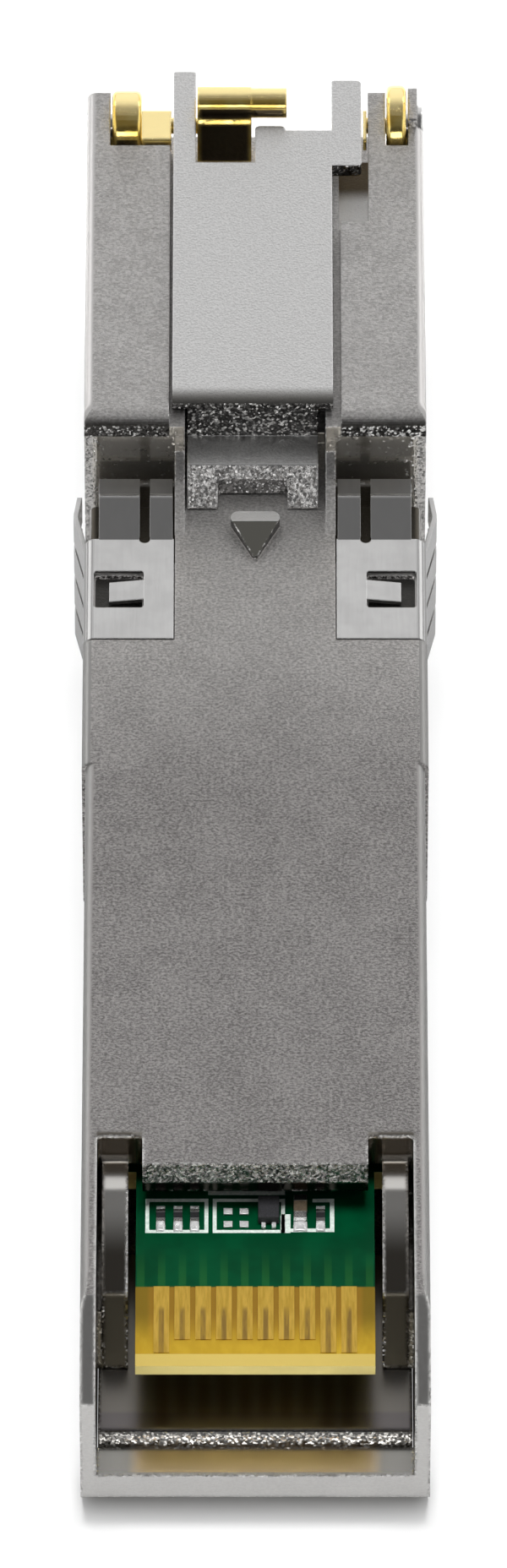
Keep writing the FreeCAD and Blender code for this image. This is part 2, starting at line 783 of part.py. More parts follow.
def build_emi_collar():
    body = new_body("emi_collar")
    sheet = s.collar_sheet
    inner_half = front_half - sheet
    inner_low = label_face + sheet
    bend, inner_bend = s.collar_bend, s.collar_bend - sheet
    add(body, "wrap", "XZ",
        [(-s.collar_inner, 0), (-front_half, 0, bend), (-front_half, label_face, bend),
         (front_half, label_face, bend), (front_half, 0, bend), (s.collar_inner, 0),
         (s.collar_inner, -sheet), (inner_half, -sheet, inner_bend), (inner_half, inner_low, inner_bend),
         (-inner_half, inner_low, inner_bend), (-inner_half, -sheet, inner_bend), (-s.collar_inner, -sheet)],
        -s.collar_back, -s.collar_front)
    # latch side: a narrow inner and a wide outer finger a panel, with an eye where the slit ends
    split = panel_low + (panel_high - panel_low) * s.finger_share
    bands = ((panel_low, split - s.finger_slit / 2), (split + s.finger_slit / 2, panel_high))
    for i, (inside, outside) in enumerate(bands):
        for name, low, high in mirrored(f"latch_finger_{i}", inside, outside):
            add(body, name, "YZ", finger_profile(as_size(0)), low, high)
    for name, low, high in mirrored("slit_eye", split, split):
        cut_round(body, name, "XY", low, -s.collar_front, s.slit_eye, -sheet - EASE, EASE)
    # sides: four fingers each
    side_count = 4
    side_pitch = (s.body_height - 2 * s.corner_gap) / side_count
    right = [(corner[1], corner[0], *corner[2:]) for corner in finger_profile(front_half)]
    left = [(-corner[0], *corner[1:]) for corner in right]
    for i in range(side_count):
        low = label_face + s.corner_gap + side_pitch * i + s.finger_slit / 2
        high = low + side_pitch - s.finger_slit
        add(body, f"side_finger_right_{i}", "XY", right, low, high)
        add(body, f"side_finger_left_{i}", "XY", left, low, high)
    # label side: six fingers
    label_count = 6
    label_pitch = 2 * panel_high / label_count
    profile = [(corner[0], -corner[1], *corner[2:]) for corner in finger_profile(s.body_height)]
    for i in range(label_count):
        low = -panel_high + label_pitch * i + s.finger_slit / 2
        add(body, f"label_finger_{i}", "YZ", profile, low, low + label_pitch - s.finger_slit)
    # lanced snap tab in each latch-side panel: a window, and the tongue bent down into the pocket
    for name, low, high in mirrored("lance", lance_root, lance_end):
        cut(body, name, "XY", box_corners(low, high, lance_low, lance_high, s.corner_round),
            -sheet - EASE, EASE)
    free_end = lance_end - s.lance_window
    for side, sign in (("left", -1), ("right", 1)):
        add(body, f"tongue_{side}", "XZ",
            [((lance_root - EASE) * sign, 0), (free_end * sign, -s.lance_dip),
             (free_end * sign, -s.lance_dip - sheet), ((lance_root - EASE) * sign, -sheet)],
            lance_low + s.lance_slit, lance_high - s.lance_slit)
    return body


def build_latch_slide():
    body = new_body("latch_slide")
    middle = -s.slide_shift
    outer = slide_right + s.outrigger_width
    under = s.slide_top - s.slide_plate
    add(body, "plate", "XY",
        [(slide_left, s.slide_back), (slide_right, s.slide_back), (slide_right, s.outrigger_back),
         (outer, s.outrigger_back, s.step_round), (outer, s.right_prong_reach, s.step_round),
         (slide_right, s.right_prong_reach, s.prong_round), (slide_right, s.low_step_reach),
         (drive_step_right, s.low_step_reach), (drive_step_right, s.drive_step_reach, s.step_round),
         (drive_step_left, s.drive_step_reach, s.step_round), (drive_step_left, s.cam_notch_back),
         (prong_inner, s.cam_notch_back), (prong_inner, s.left_prong_reach, s.prong_round),
         (slide_left, s.left_prong_reach, s.prong_round)],
        under, s.slide_top)
    tine_half = s.tine_width / 2
    tine_low, tine_high = middle - tine_half, middle + tine_half
    add(body, "neck", "XY", box_corners(tine_low, tine_high, s.slide_back, s.neck_front),
        s.channel_floor + s.slide_floor_gap, under + EASE)
    ramp_top = s.tine_tip + s.slide_ledge - s.tine_clear
    root = s.stop_reach + s.tine_root
    add(body, "tine_block", "YZ",
        [(s.tine_tip, s.tine_clear), (root, s.tine_clear), (root, s.slide_ledge),
         (ramp_top, s.slide_ledge, s.corner_round)], tine_low, tine_high)
    notch_half = s.tine_notch_width / 2
    cut(body, "boss_notch", "XY",
        [(middle - notch_half, s.tine_tip - past), (middle + notch_half, s.tine_tip - past),
         (middle + notch_half, s.tine_notch_back, s.tine_round),
         (middle - notch_half, s.tine_notch_back, s.tine_round)],
        0, s.slide_ledge + past)
    round_outer_edge(body, "back_edge", s.slide_back, s.slide_top, s.slide_back_round, -1, 1,
                     slide_left - past, slide_right + past)
    return body


def drum_outline(low, high, radius, rim):
    middle = s.pivot_reach
    return [(low, middle), (high, middle), (high, middle + radius, rim), (low, middle + radius, rim)]


def build_release_bail():
    body = new_body("release_bail")
    y, z = s.pivot_reach, s.pivot_rise
    frame_back = s.nose_reach + s.frame_gap
    frame_low = -s.nose_drop + EASE
    legs_low = s.frame_top - s.frame_foot
    leg = [(y - s.leg_half, z), (y + s.leg_half, z), (frame_front, s.frame_top, s.frame_round),
           (frame_front, legs_low), (y - s.leg_heel, legs_low, s.frame_round)]
    drums = (("left", left_drum, s.left_drum_radius), ("right", right_drum, s.right_drum_radius))
    for name, (low, high), radius in drums:
        add_turned(body, f"{name}_drum", drum_outline(low, high, radius, s.drum_rim), y, z)
        add(body, f"{name}_leg", "YZ", leg, low, high)
    # crank beside the slide's drive step: a web and the round bar at its end
    cam_left = prong_inner + s.cam_gap
    cam_right = drive_step_left - s.cam_step_gap
    bar_at = z + s.crank_throw
    crest = bar_at + s.crank_radius
    crest_round = s.crank_radius - EASE
    add(body, "crank_web", "YZ",
        [(y - s.cam_back, z - s.cam_drop, s.cam_round), (y + s.cam_front, z - s.cam_drop, s.cam_round),
         (y + s.cam_front, crest, crest_round), (y - s.crank_radius, crest, crest_round),
         (y - s.crank_radius, z + s.cam_crest, s.cam_fold_round),
         (y - s.cam_back, z + s.cam_brow, s.cam_edge_round)],
        cam_left, cam_right)
    add_round(body, "crank_bar", "YZ", y, bar_at, s.crank_radius,
              cam_right - EASE, drive_step_right + s.crank_overrun)
    # shaft and flat web out to the crank, and the short ones through the right bearing ear
    web = box_corners(y - s.web_back, y + s.web_front, z - s.web_under, z + s.web_top, s.corner_round)
    right_web_high = inner_ear_low - s.right_web_gap
    right_web_low = right_web_high - s.right_web_width
    add_round(body, "left_shaft", "YZ", y, z, s.shaft_radius, left_drum[0], cam_right)
    add(body, "left_web", "YZ", web, left_drum[1] - EASE, slide_left - s.web_gap)
    add_round(body, "right_shaft", "YZ", y, z, s.shaft_radius, right_web_low, right_drum[1])
    add(body, "right_web", "YZ", web, right_web_low, right_web_high)
    # handle frame round the jack opening with a finger lip on its lower bar
    outer = front_half
    inner = s.jack_width / 2 + s.frame_side_gap
    bar_high = frame_low + s.frame_bar
    add(body, "frame", "XZ",
        [(-outer, s.frame_top, s.frame_round), (-outer, frame_low, s.frame_corner),
         (outer, frame_low, s.frame_corner), (outer, s.frame_top, s.frame_round),
         (right_drum[0], s.frame_top), (right_drum[0], legs_low), (inner, legs_low),
         (inner, bar_high), (-inner, bar_high), (-inner, legs_low),
         (left_drum[1], legs_low), (left_drum[1], s.frame_top)],
        frame_back, frame_front)
    grip_half = s.grip_width / 2
    add(body, "grip", "XY",
        [(-grip_half, frame_front - EASE), (grip_half, frame_front - EASE),
         (grip_half - s.grip_taper, part_front, s.grip_taper),
         (-grip_half + s.grip_taper, part_front, s.grip_taper)],
        frame_low, bar_high)
    # bores for the pivot pins
    bore = s.pin_radius + s.bore_play
    left_end = left_drum[0] + s.left_stem + s.bore_end
    right_end = right_drum[1] - s.right_stem - s.bore_end
    cut_round(body, "left_bore", "YZ", y, z, bore, left_drum[0] - EASE, left_end)
    cut_round(body, "right_bore", "YZ", y, z, bore, right_end, right_drum[1] + EASE)
    return body


def build_bail_pins():
    """Headed steel pins on which the two drums turn."""
    y, z = s.pivot_reach, s.pivot_rise
    stem = s.pin_radius - s.pin_fit
    spans = (("left", s.left_head_radius, -front_half, -front_half + s.pin_head, left_drum[0] + s.left_stem),
             ("right", s.right_head_radius, front_half, ear_skin, right_drum[1] - s.right_stem))
    pins = []
    for side, seat, head_end, neck, tip in spans:
        head = seat - s.head_play
        body = new_body(f"bail_pin_{side}")
        add_turned(body, f"{side}_pin",
                   [(head_end, y), (head_end, y + head, s.head_round), (neck, y + head), (neck, y + stem),
                    (tip, y + stem), (tip, y)], y, z)
        pins.append(body)
    return group("bail_pins", pins)


def build_main_board():
    body = new_body("main_board")
    top, under = -s.board_face, board_back_face
    edge_half = s.board_width / 2
    wide_half = s.board_body_width / 2
    add(body, "board", "XY",
        [(-edge_half, -s.board_reach), (edge_half, -s.board_reach), (edge_half, -s.board_shoulder),
         (wide_half, -s.board_shoulder, s.board_round), (wide_half, s.board_front, s.board_round),
         (-wide_half, s.board_front, s.board_round), (-wide_half, -s.board_shoulder, s.board_round),
         (-edge_half, -s.board_shoulder)],
        under, top)
    bevel_start = -s.board_reach + s.bevel_length
    for side, face, out in (("latch", top, 1), ("label", under, -1)):
        bevel = face - s.bevel_depth * out
        cut(body, f"{side}_bevel", "YZ",
            [(-s.board_reach - past, bevel), (-s.board_reach, bevel), (bevel_start, face),
             (bevel_start, face + past * out), (-s.board_reach - past, face + past * out)],
            -edge_half - past, edge_half + past)
    return body


def build_edge_contacts():
    """Ten gold fingers on each face of the board; ground fingers reach further."""
    pads = []
    count = 10
    long_pads = (0, 8, 9)
    faces = (("latch", -s.board_face, -s.board_face + s.pad_thick),
             ("label", board_back_face - s.pad_thick, board_back_face))
    for face, low, high in faces:
        for i in range(count):
            middle = s.pad_pitch * (i - (count - 1) / 2)
            reach = s.pad_long_end if i in long_pads else s.pad_short_end
            pads.append(block(f"pad_{face}_{i}", middle - s.pad_width / 2, middle + s.pad_width / 2,
                              -reach, -s.pad_start, low, high))
    return group("edge_contacts", pads)


def chip(name, x, y, width, length, height, face="label"):
    """A package standing on one face of the board, given by its middle and size."""
    x_low, y_low = as_size(x) - width / 2, as_size(y) - length / 2
    if face == "label":
        z_low, z_high = board_back_face - height, board_back_face
    else:
        z_low, z_high = -s.board_face, -s.board_face + height
    return block(name, x_low, x_low + width, y_low, y_low + length, z_low, z_high)


def soften(name, box, radius):
    """Breaks all edges of a moulded package."""
    doc.recompute()
    fillet = doc.addObject("Part::Fillet", name)
    fillet.Base = box
    fillet.Edges = [(i, radius.value, radius.value) for i in range(1, len(box.Shape.Edges) + 1)]
    fillet.Label = name
    return fillet


# Places across the board of the small parts seen through the tail opening
RESISTOR_SPOTS = (-3.65, -2.98, -2.34, 2.52)
BARE_PAD_SPOTS = (-1.05, -0.43)
SOT_SPOT = 0.52
CAPACITOR_SPOT = 1.74
sot_row = small_row + s.sot_length / 4
capacitor_row = small_row + s.capacitor_length / 4


def build_small_parts():
    """Resistors, the three-legged package and the capacitor behind the card edge."""
    resistor_size = (s.resistor_width, s.resistor_length, s.resistor_height)
    resistors = []
    for i, x in enumerate(RESISTOR_SPOTS):
        resistors.append(chip(f"resistor_{i}", x, small_row, *resistor_size, "latch"))
    sot = chip("sot_body", SOT_SPOT, sot_row, s.sot_width, s.sot_length, s.sot_height, "latch")
    capacitor = chip("capacitor_body", CAPACITOR_SPOT, capacitor_row,
                     s.capacitor_width, s.capacitor_length, s.capacitor_height, "latch")
    return [group("chip_resistors", resistors), soften("sot_package", sot, s.chip_round),
            soften("chip_capacitor", capacitor, s.chip_round)]


def solder_wedge(name, x, width, tall_end, outward):
    """A joint that falls away from the end of a small part to the board."""
    body = new_body(name)
    face = -s.board_face
    add(body, f"{name}_wedge", "YZ",
        [(tall_end, face), (tall_end + s.joint_length * outward, face), (tall_end, face + s.joint_height)],
        as_size(x) - width / 2, as_size(x) + width / 2)
    return body


def build_solder_pads():
    """Solder joints at the ends of the small parts, and the bare pads left free between them."""
    solder = []
    for i, x in enumerate(RESISTOR_SPOTS):
        for outward in (-1, 1):
            end = small_row + (s.resistor_length / 2 + s.joint_gap) * outward
            solder.append(solder_wedge(f"joint_{i}_{outward + 1}", x, s.resistor_width, end, outward))
    end = capacitor_row - s.capacitor_length / 2 - s.joint_gap
    solder.append(solder_wedge("capacitor_joint", CAPACITOR_SPOT, s.capacitor_width, end, -1))
    bare_size = (s.bare_pad_width, s.bare_pad_length, s.bare_pad_rise)
    for i, x in enumerate(BARE_PAD_SPOTS):
        for j, y in enumerate((small_row - s.bare_pad_pitch / 2, small_row + s.bare_pad_pitch / 2)):
            solder.append(chip(f"bare_{i}_{j}", x, y, *bare_size, "latch"))
    leg_size = (s.sot_leg_width, s.sot_leg_length, s.sot_leg_rise)
    leg_row = sot_row - (s.sot_length + s.sot_leg_length) / 2 - s.joint_gap
    for i, x in enumerate((SOT_SPOT - s.sot_leg_at, SOT_SPOT + s.sot_leg_at)):
        solder.append(chip(f"sot_leg_{i}", x, leg_row, *leg_size, "latch"))
    return group("solder_pads", solder)


def build_packages():
    """Packages on the label side of the board, inside the shell."""
    phy = chip("phy_body", 0, -phy_middle, s.phy_size, s.phy_size, s.phy_height)
    pad_half = s.heat_pad_size / 2
    pad = block("thermal_pad", -pad_half, pad_half, -phy_middle - pad_half, -phy_middle + pad_half,
                -s.pedestal_gap, board_back_face - s.phy_height)
    pad.Label = "thermal_pad"
    transformer_front = s.board_front - s.transformer_inset
    transformer_back = transformer_front - s.transformer_length
    transformer = chip("transformer_body", 0, (transformer_front + transformer_back) / 2,
                       s.transformer_width, s.transformer_length, s.transformer_height)
    # one row between transformer and network chip: crystal, inductor and memory from left to right
    row = transformer_back - s.package_gap - s.inductor_length / 2
    aside = s.inductor_width / 2 + s.package_gap
    crystal = chip("crystal_body", -aside - s.crystal_width / 2, row, s.crystal_width, s.crystal_length,
                   s.crystal_height)
    memory = chip("memory_body", aside + s.memory_width / 2, row, s.memory_width, s.memory_length,
                  s.memory_height)
    inductor = chip("inductor_body", 0, row, s.inductor_width, s.inductor_length, s.inductor_height)
    boxes = {"phy_chip": phy, "transformer_block": transformer, "clock_crystal": crystal,
             "memory_chip": memory, "power_inductor": inductor}
    return [pad] + [soften(name, box, s.package_round) for name, box in boxes.items()]


def build_jack_insert():
    """Plastic block behind the plug space with a tongue under the contacts."""
    body = new_body("jack_insert")
    half = s.jack_width / 2 - s.insert_side_gap
    floor = -s.jack_bottom + s.insert_floor_gap
    roof = -s.jack_top - s.insert_roof_gap
    block_under = -s.jack_bottom + s.insert_under
    add(body, "rear_block", "YZ",
        [(s.insert_back, roof), (s.insert_back, block_under), (s.insert_front, block_under),
         (s.insert_front, roof - s.insert_brow, s.insert_round), (s.insert_front - s.insert_brow, roof)],
        -half, half)
    tongue_half = half - s.tongue_inset
    add(body, "tongue", "XY",
        box_corners(-tongue_half, tongue_half, s.insert_back, s.insert_tongue, s.insert_round),
        floor, floor + s.tongue_thick)
    for name, low, high in mirrored("rib", half - s.rib_width, half):
        add(body, name, "XZ", box_corners(low, high, floor, block_under + EASE),
            s.insert_back, s.insert_front)
    return body


def build_jack_contacts():
    """Eight bent spring wires, swept along one path and repeated across the jack."""
    count = 8
    radius = s.contact_radius.value
    run = (-s.jack_bottom + s.insert_floor_gap + s.tongue_thick + s.contact_gap).value + radius
    lead = board_back_face.value - radius
    rise_at = (s.insert_back - s.contact_back_gap).value - radius
    front = (s.insert_tongue - s.contact_end_gap).value
    tail = (s.board_front - s.contact_lead).value
    spring_end = ((s.insert_front + s.contact_return).value, run + s.contact_rise.value)
    path = [(tail, lead), (rise_at, lead), (rise_at, run), (front, run), spring_end]
    spots = [FreeCAD.Vector(0, y + shift_y.value, z + shift_z.value) for y, z in path]
    bend = s.contact_bend.value
    edges = []
    start = spots[0]
    for i in range(1, len(spots) - 1):
        back = (spots[i - 1] - spots[i]).normalize()
        ahead = (spots[i + 1] - spots[i]).normalize()
        half = back.getAngle(ahead) / 2
        reach = bend / math.tan(half)
        centre = spots[i] + (back + ahead).normalize() * (bend / math.sin(half))
        crest = centre + (spots[i] - centre).normalize() * bend
        edges.append(Part.LineSegment(start, spots[i] + back * reach).toShape())
        edges.append(Part.Arc(spots[i] + back * reach, crest, spots[i] + ahead * reach).toShape())
        start = spots[i] + ahead * reach
    edges.append(Part.LineSegment(start, spots[-1]).toShape())
    profile = Part.Wire(Part.Circle(spots[0], FreeCAD.Vector(0, 1, 0), radius).toShape())
    wire = Part.Wire(edges).makePipeShell([profile], True, False)
    copies = []
    for i in range(count):
        copy = wire.copy()
        copy.translate(FreeCAD.Vector(s.contact_pitch.value * (i - (count - 1) / 2), 0, 0))
        copies.append(copy)
    contacts = doc.addObject("Part::Feature", "jack_contacts")
    contacts.Label = "jack_contacts"
    contacts.Shape = Part.makeCompound(copies)
    return contacts


parts = [
    build_base_housing(), build_top_cover(), build_emi_collar(), build_latch_slide(), build_release_bail(),
    build_bail_pins(), build_main_board(), build_edge_contacts(), build_solder_pads(),
    build_jack_insert(), build_jack_contacts(),
]
parts += build_small_parts()
parts += build_packages()
doc.recompute()

faults = [thing.Name for thing in doc.Objects if {"Invalid", "Error"} & set(thing.State)]
for part in parts:
    if part.Shape.isNull() or not part.Shape.isValid():
        faults.append(f"{part.Label} shape")
if faults:
    raise RuntimeError("faulty objects: " + ", ".join(faults))

os.makedirs("parts", exist_ok=True)
for part in parts:
    part.Shape.exportStep(f"parts/{part.Label}.step")
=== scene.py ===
import json
import math
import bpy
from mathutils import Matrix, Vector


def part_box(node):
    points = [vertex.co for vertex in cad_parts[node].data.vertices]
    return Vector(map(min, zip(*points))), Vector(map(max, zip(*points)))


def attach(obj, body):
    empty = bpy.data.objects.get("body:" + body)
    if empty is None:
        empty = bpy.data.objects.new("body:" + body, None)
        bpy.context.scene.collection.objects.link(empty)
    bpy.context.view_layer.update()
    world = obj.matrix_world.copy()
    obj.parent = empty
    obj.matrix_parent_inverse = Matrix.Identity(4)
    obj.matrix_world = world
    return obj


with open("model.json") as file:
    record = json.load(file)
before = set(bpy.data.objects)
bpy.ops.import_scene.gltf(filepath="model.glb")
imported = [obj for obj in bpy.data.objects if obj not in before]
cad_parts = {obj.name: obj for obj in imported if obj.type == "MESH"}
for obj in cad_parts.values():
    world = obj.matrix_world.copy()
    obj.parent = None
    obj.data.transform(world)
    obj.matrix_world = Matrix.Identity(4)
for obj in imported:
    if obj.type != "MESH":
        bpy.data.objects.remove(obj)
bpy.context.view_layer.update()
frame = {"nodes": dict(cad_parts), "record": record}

from types import SimpleNamespace

import bpy
from mathutils import Vector

MM = 0.001

# Places in the row frame, in millimetres
BODY_FACE = 10.75
NOSE_BACK = 13.55
SLIDE_BACK = 14.4
TAIL_END = -33.65
BOARD_FACE = 8.4
BOARD_END = -30.9
PAD_ROW = -27.15
PAD_PITCH = 0.8

# Edges of the casting's zones in the row frame, in millimetres
TAIL_EDGES = -20.0  # edges behind this are rounder and catch more light
TAIL_BAY = -21.4    # the open bay at the tail lies behind this
SKIRT_RIM = -28.0   # the skirts' sloping rims lie behind this
TAIL_BAR = -31.5    # the bar across the tail lies behind this
TAIL_TONE = -32.0   # the tail's own tone begins
BAY_HALF = 6.2      # the bay lies within this of the middle
BAY_TOP = 9.75      # the bay's smooth faces lie below this
BAY_POST = 4.7      # the posts beside the board lie further out
OUTER_WALL = 6.4    # faces of the outer walls lie further out
NOSE_TONE = 8.0     # the nose's own tone begins
NOSE_BENDS = 12.0   # sloping faces at the nose lie in front of this
CHANNEL_HALF = 3.4  # the nose beside the slide's channel lies further out
NOSE_BROW = 12.85   # above this the nose's rear wall glitters and rounds over
BOSS_BACK = 4.0     # the latch boss lies in front of this, and behind the next
BOSS_FRONT = 11.3
BOSS_HALF = 1.5

# Colours of painted glints and highlights on the plating
PAINTED_GLINT = (0.95, 0.94, 0.92)
PAINTED_HIGHLIGHT = (0.98, 0.97, 0.95)

UP = (0.0, 0.0, 1.0)


class Finish:
    """A material's node tree, with short ways to add nodes and link them."""

    def __init__(self, name):
        self.material = bpy.data.materials.new(name)
        self.material.use_nodes = True
        self.tree = self.material.node_tree
        self.tree.nodes.clear()
        self.shader = self.node("ShaderNodeBsdfPrincipled")
        self.out = self.node("ShaderNodeOutputMaterial")
        self.tree.links.new(self.shader.outputs["BSDF"], self.out.inputs["Surface"])
        self.place = self.node("ShaderNodeTexCoord").outputs["Object"]
        self.true_normal = self.node("ShaderNodeNewGeometry").outputs["True Normal"]

    def node(self, kind, **settings):
        made = self.tree.nodes.new(kind)
        for key, value in settings.items():
            setattr(made, key, value)
        return made

    def plug(self, value, socket):
        """Links an output to a socket, or sets the socket to a plain value."""
        if isinstance(value, bpy.types.NodeSocket):
            self.tree.links.new(value, socket)
        else:
            socket.default_value = value

    def set(self, **values):
        """Plugs values into the shader's sockets, named in lower case with underscores."""
        for key, value in values.items():
            self.plug(value, self.shader.inputs[key.replace("_", " ").title().replace("Ior", "IOR")])

    def math(self, operation, a, b=0.0):
        made = self.node("ShaderNodeMath", operation=operation)
        self.plug(a, made.inputs[0])
        self.plug(b, made.inputs[1])
        return made.outputs[0]

    def add(self, a, b):
        return self.math("ADD", a, b)

    def product(self, *values):
        total = values[0]
        for value in values[1:]:
            total = self.math("MULTIPLY", total, value)
        return total

    def most(self, *values):
        """The largest of several values."""
        largest = values[0]
        for value in values[1:]:
            largest = self.math("MAXIMUM", largest, value)
        return largest

    def less(self, value, start=1.0):
        return self.math("SUBTRACT", start, value)

    def size(self, value):
        return self.math("ABSOLUTE", value)

    def span(self, value, low, high, to_low=0.0, to_high=1.0):
        """Maps low..high to to_low..to_high, smoothly and with ends held."""
        made = self.node("ShaderNodeMapRange", interpolation_type="SMOOTHSTEP")
        for socket, number in zip(made.inputs, (value, low, high, to_low, to_high)):
            self.plug(number, socket)
        return made.outputs[0]

    def above(self, value, place, blend):
        """0 below a place, rising to 1 over the width of the blend."""
        return self.span(value, place, place + blend)

    def below(self, value, place, blend):
        """0 above a place, rising to 1 over the width of the blend, downward."""
        return self.span(value, place, place - blend)

    def mix(self, fac, a, b):
        made = self.node("ShaderNodeMix", data_type="RGBA")
        self.plug(fac, made.inputs["Factor"])
        for colour, socket in ((a, made.inputs[6]), (b, made.inputs[7])):
            self.plug(colour if isinstance(colour, bpy.types.NodeSocket) else (*colour, 1.0), socket)
        return made.outputs[2]

    def stretched(self, x=1.0, y=1.0):
        made = self.node("ShaderNodeMapping")
        made.inputs["Scale"].default_value = (x, y, 1.0)
        self.plug(self.place, made.inputs["Vector"])
        return made.outputs[0]

    def noise(self, per_mm, detail=2.0, rough=0.5, vector=None):
        made = self.node("ShaderNodeTexNoise")
        self.plug(vector or self.place, made.inputs["Vector"])
        made.inputs["Scale"].default_value = per_mm / MM
        made.inputs["Detail"].default_value = detail
        made.inputs["Roughness"].default_value = rough
        return made.outputs["Fac"]

    def axis(self, name):
        """One coordinate of the surface point, in the object's own millimetres."""
        made = self.node("ShaderNodeSeparateXYZ")
        self.plug(self.place, made.inputs[0])
        return self.product(made.outputs[name], 1 / MM)

    def from_pitch(self, x):
        """How far a point lies from the middle of its contact's pitch, as a share of the pitch."""
        phase = self.math("FRACT", self.math("DIVIDE", x, PAD_PITCH))
        return self.size(self.math("SUBTRACT", phase, 0.5))

    def dot(self, a, b):
        made = self.node("ShaderNodeVectorMath", operation="DOT_PRODUCT")
        self.plug(a, made.inputs[0])
        self.plug(b, made.inputs[1])
        return made.outputs["Value"]

    def facing(self, x=0.0, y=0.0, z=0.0):
        """How far the surface looks along a direction, from -1 to 1."""
        return self.dot(self.true_normal, (x, y, z))

    def vector(self, operation, a, b=None):
        made = self.node("ShaderNodeVectorMath", operation=operation)
        self.plug(a, made.inputs[0])
        if b is not None:
            self.plug(b, made.inputs["Scale" if operation == "SCALE" else 1])
        return made.outputs[0]

    def tilted(self, normal, toward, amount):
        """A normal moved toward a direction, by an amount that may be a mask."""
        return self.vector("ADD", normal, self.vector("SCALE", toward, amount))

    def soft_edges(self, radius_mm):
        """Normals rounded over at the edges, by a radius that may be a socket."""
        made = self.node("ShaderNodeBevel", samples=6)
        if isinstance(radius_mm, bpy.types.NodeSocket):
            self.plug(self.product(radius_mm, MM), made.inputs["Radius"])
        else:
            made.inputs["Radius"].default_value = radius_mm * MM
        return made.outputs["Normal"]

    def edges(self, soft):
        """1 at the edges, where the rounded normals leave the true ones."""
        return self.span(self.dot(soft, self.true_normal), 0.995, 0.9)

    def crystals(self, per_mm):
        """A random vector for each crystal of the plating."""
        made = self.node("ShaderNodeTexVoronoi")
        self.plug(self.place, made.inputs["Vector"])
        made.inputs["Scale"].default_value = per_mm / MM
        return made.outputs["Color"]

    def flash(self, crystal, low=0.5, high=0.75):
        """1 on the few crystals that catch the light."""
        made = self.node("ShaderNodeSeparateXYZ")
        self.plug(crystal, made.inputs[0])
        return self.span(made.outputs["X"], low, high)

    def sparkle(self, crystal, tilt, normal):
        """Normals that lean at random from crystal to crystal, so that single ones flash."""
        lean = self.vector("SUBTRACT", crystal, (0.5, 0.5, 0.5))
        return self.vector("NORMALIZE", self.tilted(normal, lean, tilt))

    def bump(self, height, strength, depth_mm, normal=None):
        made = self.node("ShaderNodeBump")
        self.plug(height, made.inputs["Height"])
        self.plug(strength, made.inputs["Strength"])
        made.inputs["Distance"].default_value = depth_mm * MM
        if normal:
            self.plug(normal, made.inputs["Normal"])
        self.plug(made.outputs["Normal"], self.shader.inputs["Normal"])


def casting_zones(f):
    """Places, directions and masks of the casting's regions that have a finish, or painted light and shade,
    of their own.
    """
    at = SimpleNamespace(x=f.axis("X"), y=f.axis("Y"), z=f.axis("Z"))
    at.aside = f.size(at.x)
    at.across = f.size(f.facing(x=1.0))
    at.toward_tail, at.upward = f.facing(y=-1.0), f.facing(z=1.0)
    at.flat = f.below(at.across, 0.3, 0.25)
    at.outside = f.above(at.aside, OUTER_WALL, 0.1)
    at.tail_edges = f.below(at.y, TAIL_EDGES, 1.0)

    at.end_face = f.below(at.y, TAIL_END + 0.2, 0.1)
    at.lip = f.below(at.y, TAIL_BAR, 0.2)
    inside = f.product(f.below(at.aside, BAY_HALF, 0.15), f.less(at.end_face))
    at.deep = f.product(f.below(at.z, BAY_TOP, 0.15), f.below(at.y, TAIL_BAY, 0.2), inside)
    front_strip = f.product(f.below(at.y, TAIL_BAY + 0.2, 0.2), f.above(at.y, TAIL_BAY - 0.8, 0.2))
    at.corner = f.product(front_strip, f.above(at.aside, BAY_POST - 0.4, 0.1), inside)
    at.beside = f.above(at.aside, BAY_POST, 0.1)
    at.post = f.product(at.beside, f.above(at.z, BOARD_FACE - 0.3, 0.2))

    at.nose = f.above(at.y, NOSE_TONE, 4.5)
    at.nose_back = f.product(at.nose, f.below(at.y, NOSE_BACK + 0.95, 0.5))
    at.brow = f.product(at.nose_back, f.above(at.z, NOSE_BROW, 0.1), f.above(at.aside, CHANNEL_HALF, 0.1))
    at.wall = f.product(f.above(at.toward_tail, 0.94, 0.04), at.nose, f.less(at.brow))
    at.wall_end = f.product(at.wall, f.above(at.aside, OUTER_WALL - 0.1, 0.3))

    at.boss = f.product(f.above(at.y, BOSS_BACK, 2.0), f.below(at.y, BOSS_FRONT, 0.2),
                        f.below(at.aside, BOSS_HALF, 0.1), f.above(at.z, BODY_FACE + 0.02, 0.03))
    at.boss_ramp = f.product(at.boss, f.above(at.toward_tail, 0.1, 0.04))

    bent = f.product(f.above(at.toward_tail, 0.12, 0.06), f.below(at.toward_tail, 0.8, 0.2))
    at.rim = f.product(bent, f.below(at.y, SKIRT_RIM, 1.0), f.less(at.deep))
    at.smooth = f.most(at.wall, at.deep, at.corner)
    nose_bends = f.product(bent, f.above(at.y, NOSE_BENDS, 1.0), f.less(at.brow))
    at.even = f.most(at.smooth, nose_bends, at.boss_ramp)
    starts, full = f.span(at.brow, 0.0, 1.0, 0.6, 0.92), f.span(at.brow, 0.0, 1.0, 0.75, 0.98)
    at.glitter = f.product(f.span(at.toward_tail, starts, full), f.less(at.end_face),
                           f.most(f.less(at.smooth), at.lip))

    at.crystal = f.crystals(11.0)
    at.flash = f.flash(at.crystal)
    at.wall_flash = f.product(f.flash(at.crystal, 0.84, 0.95), f.span(at.aside, 5.9, 6.3, 0.3, 1.0))
    return at


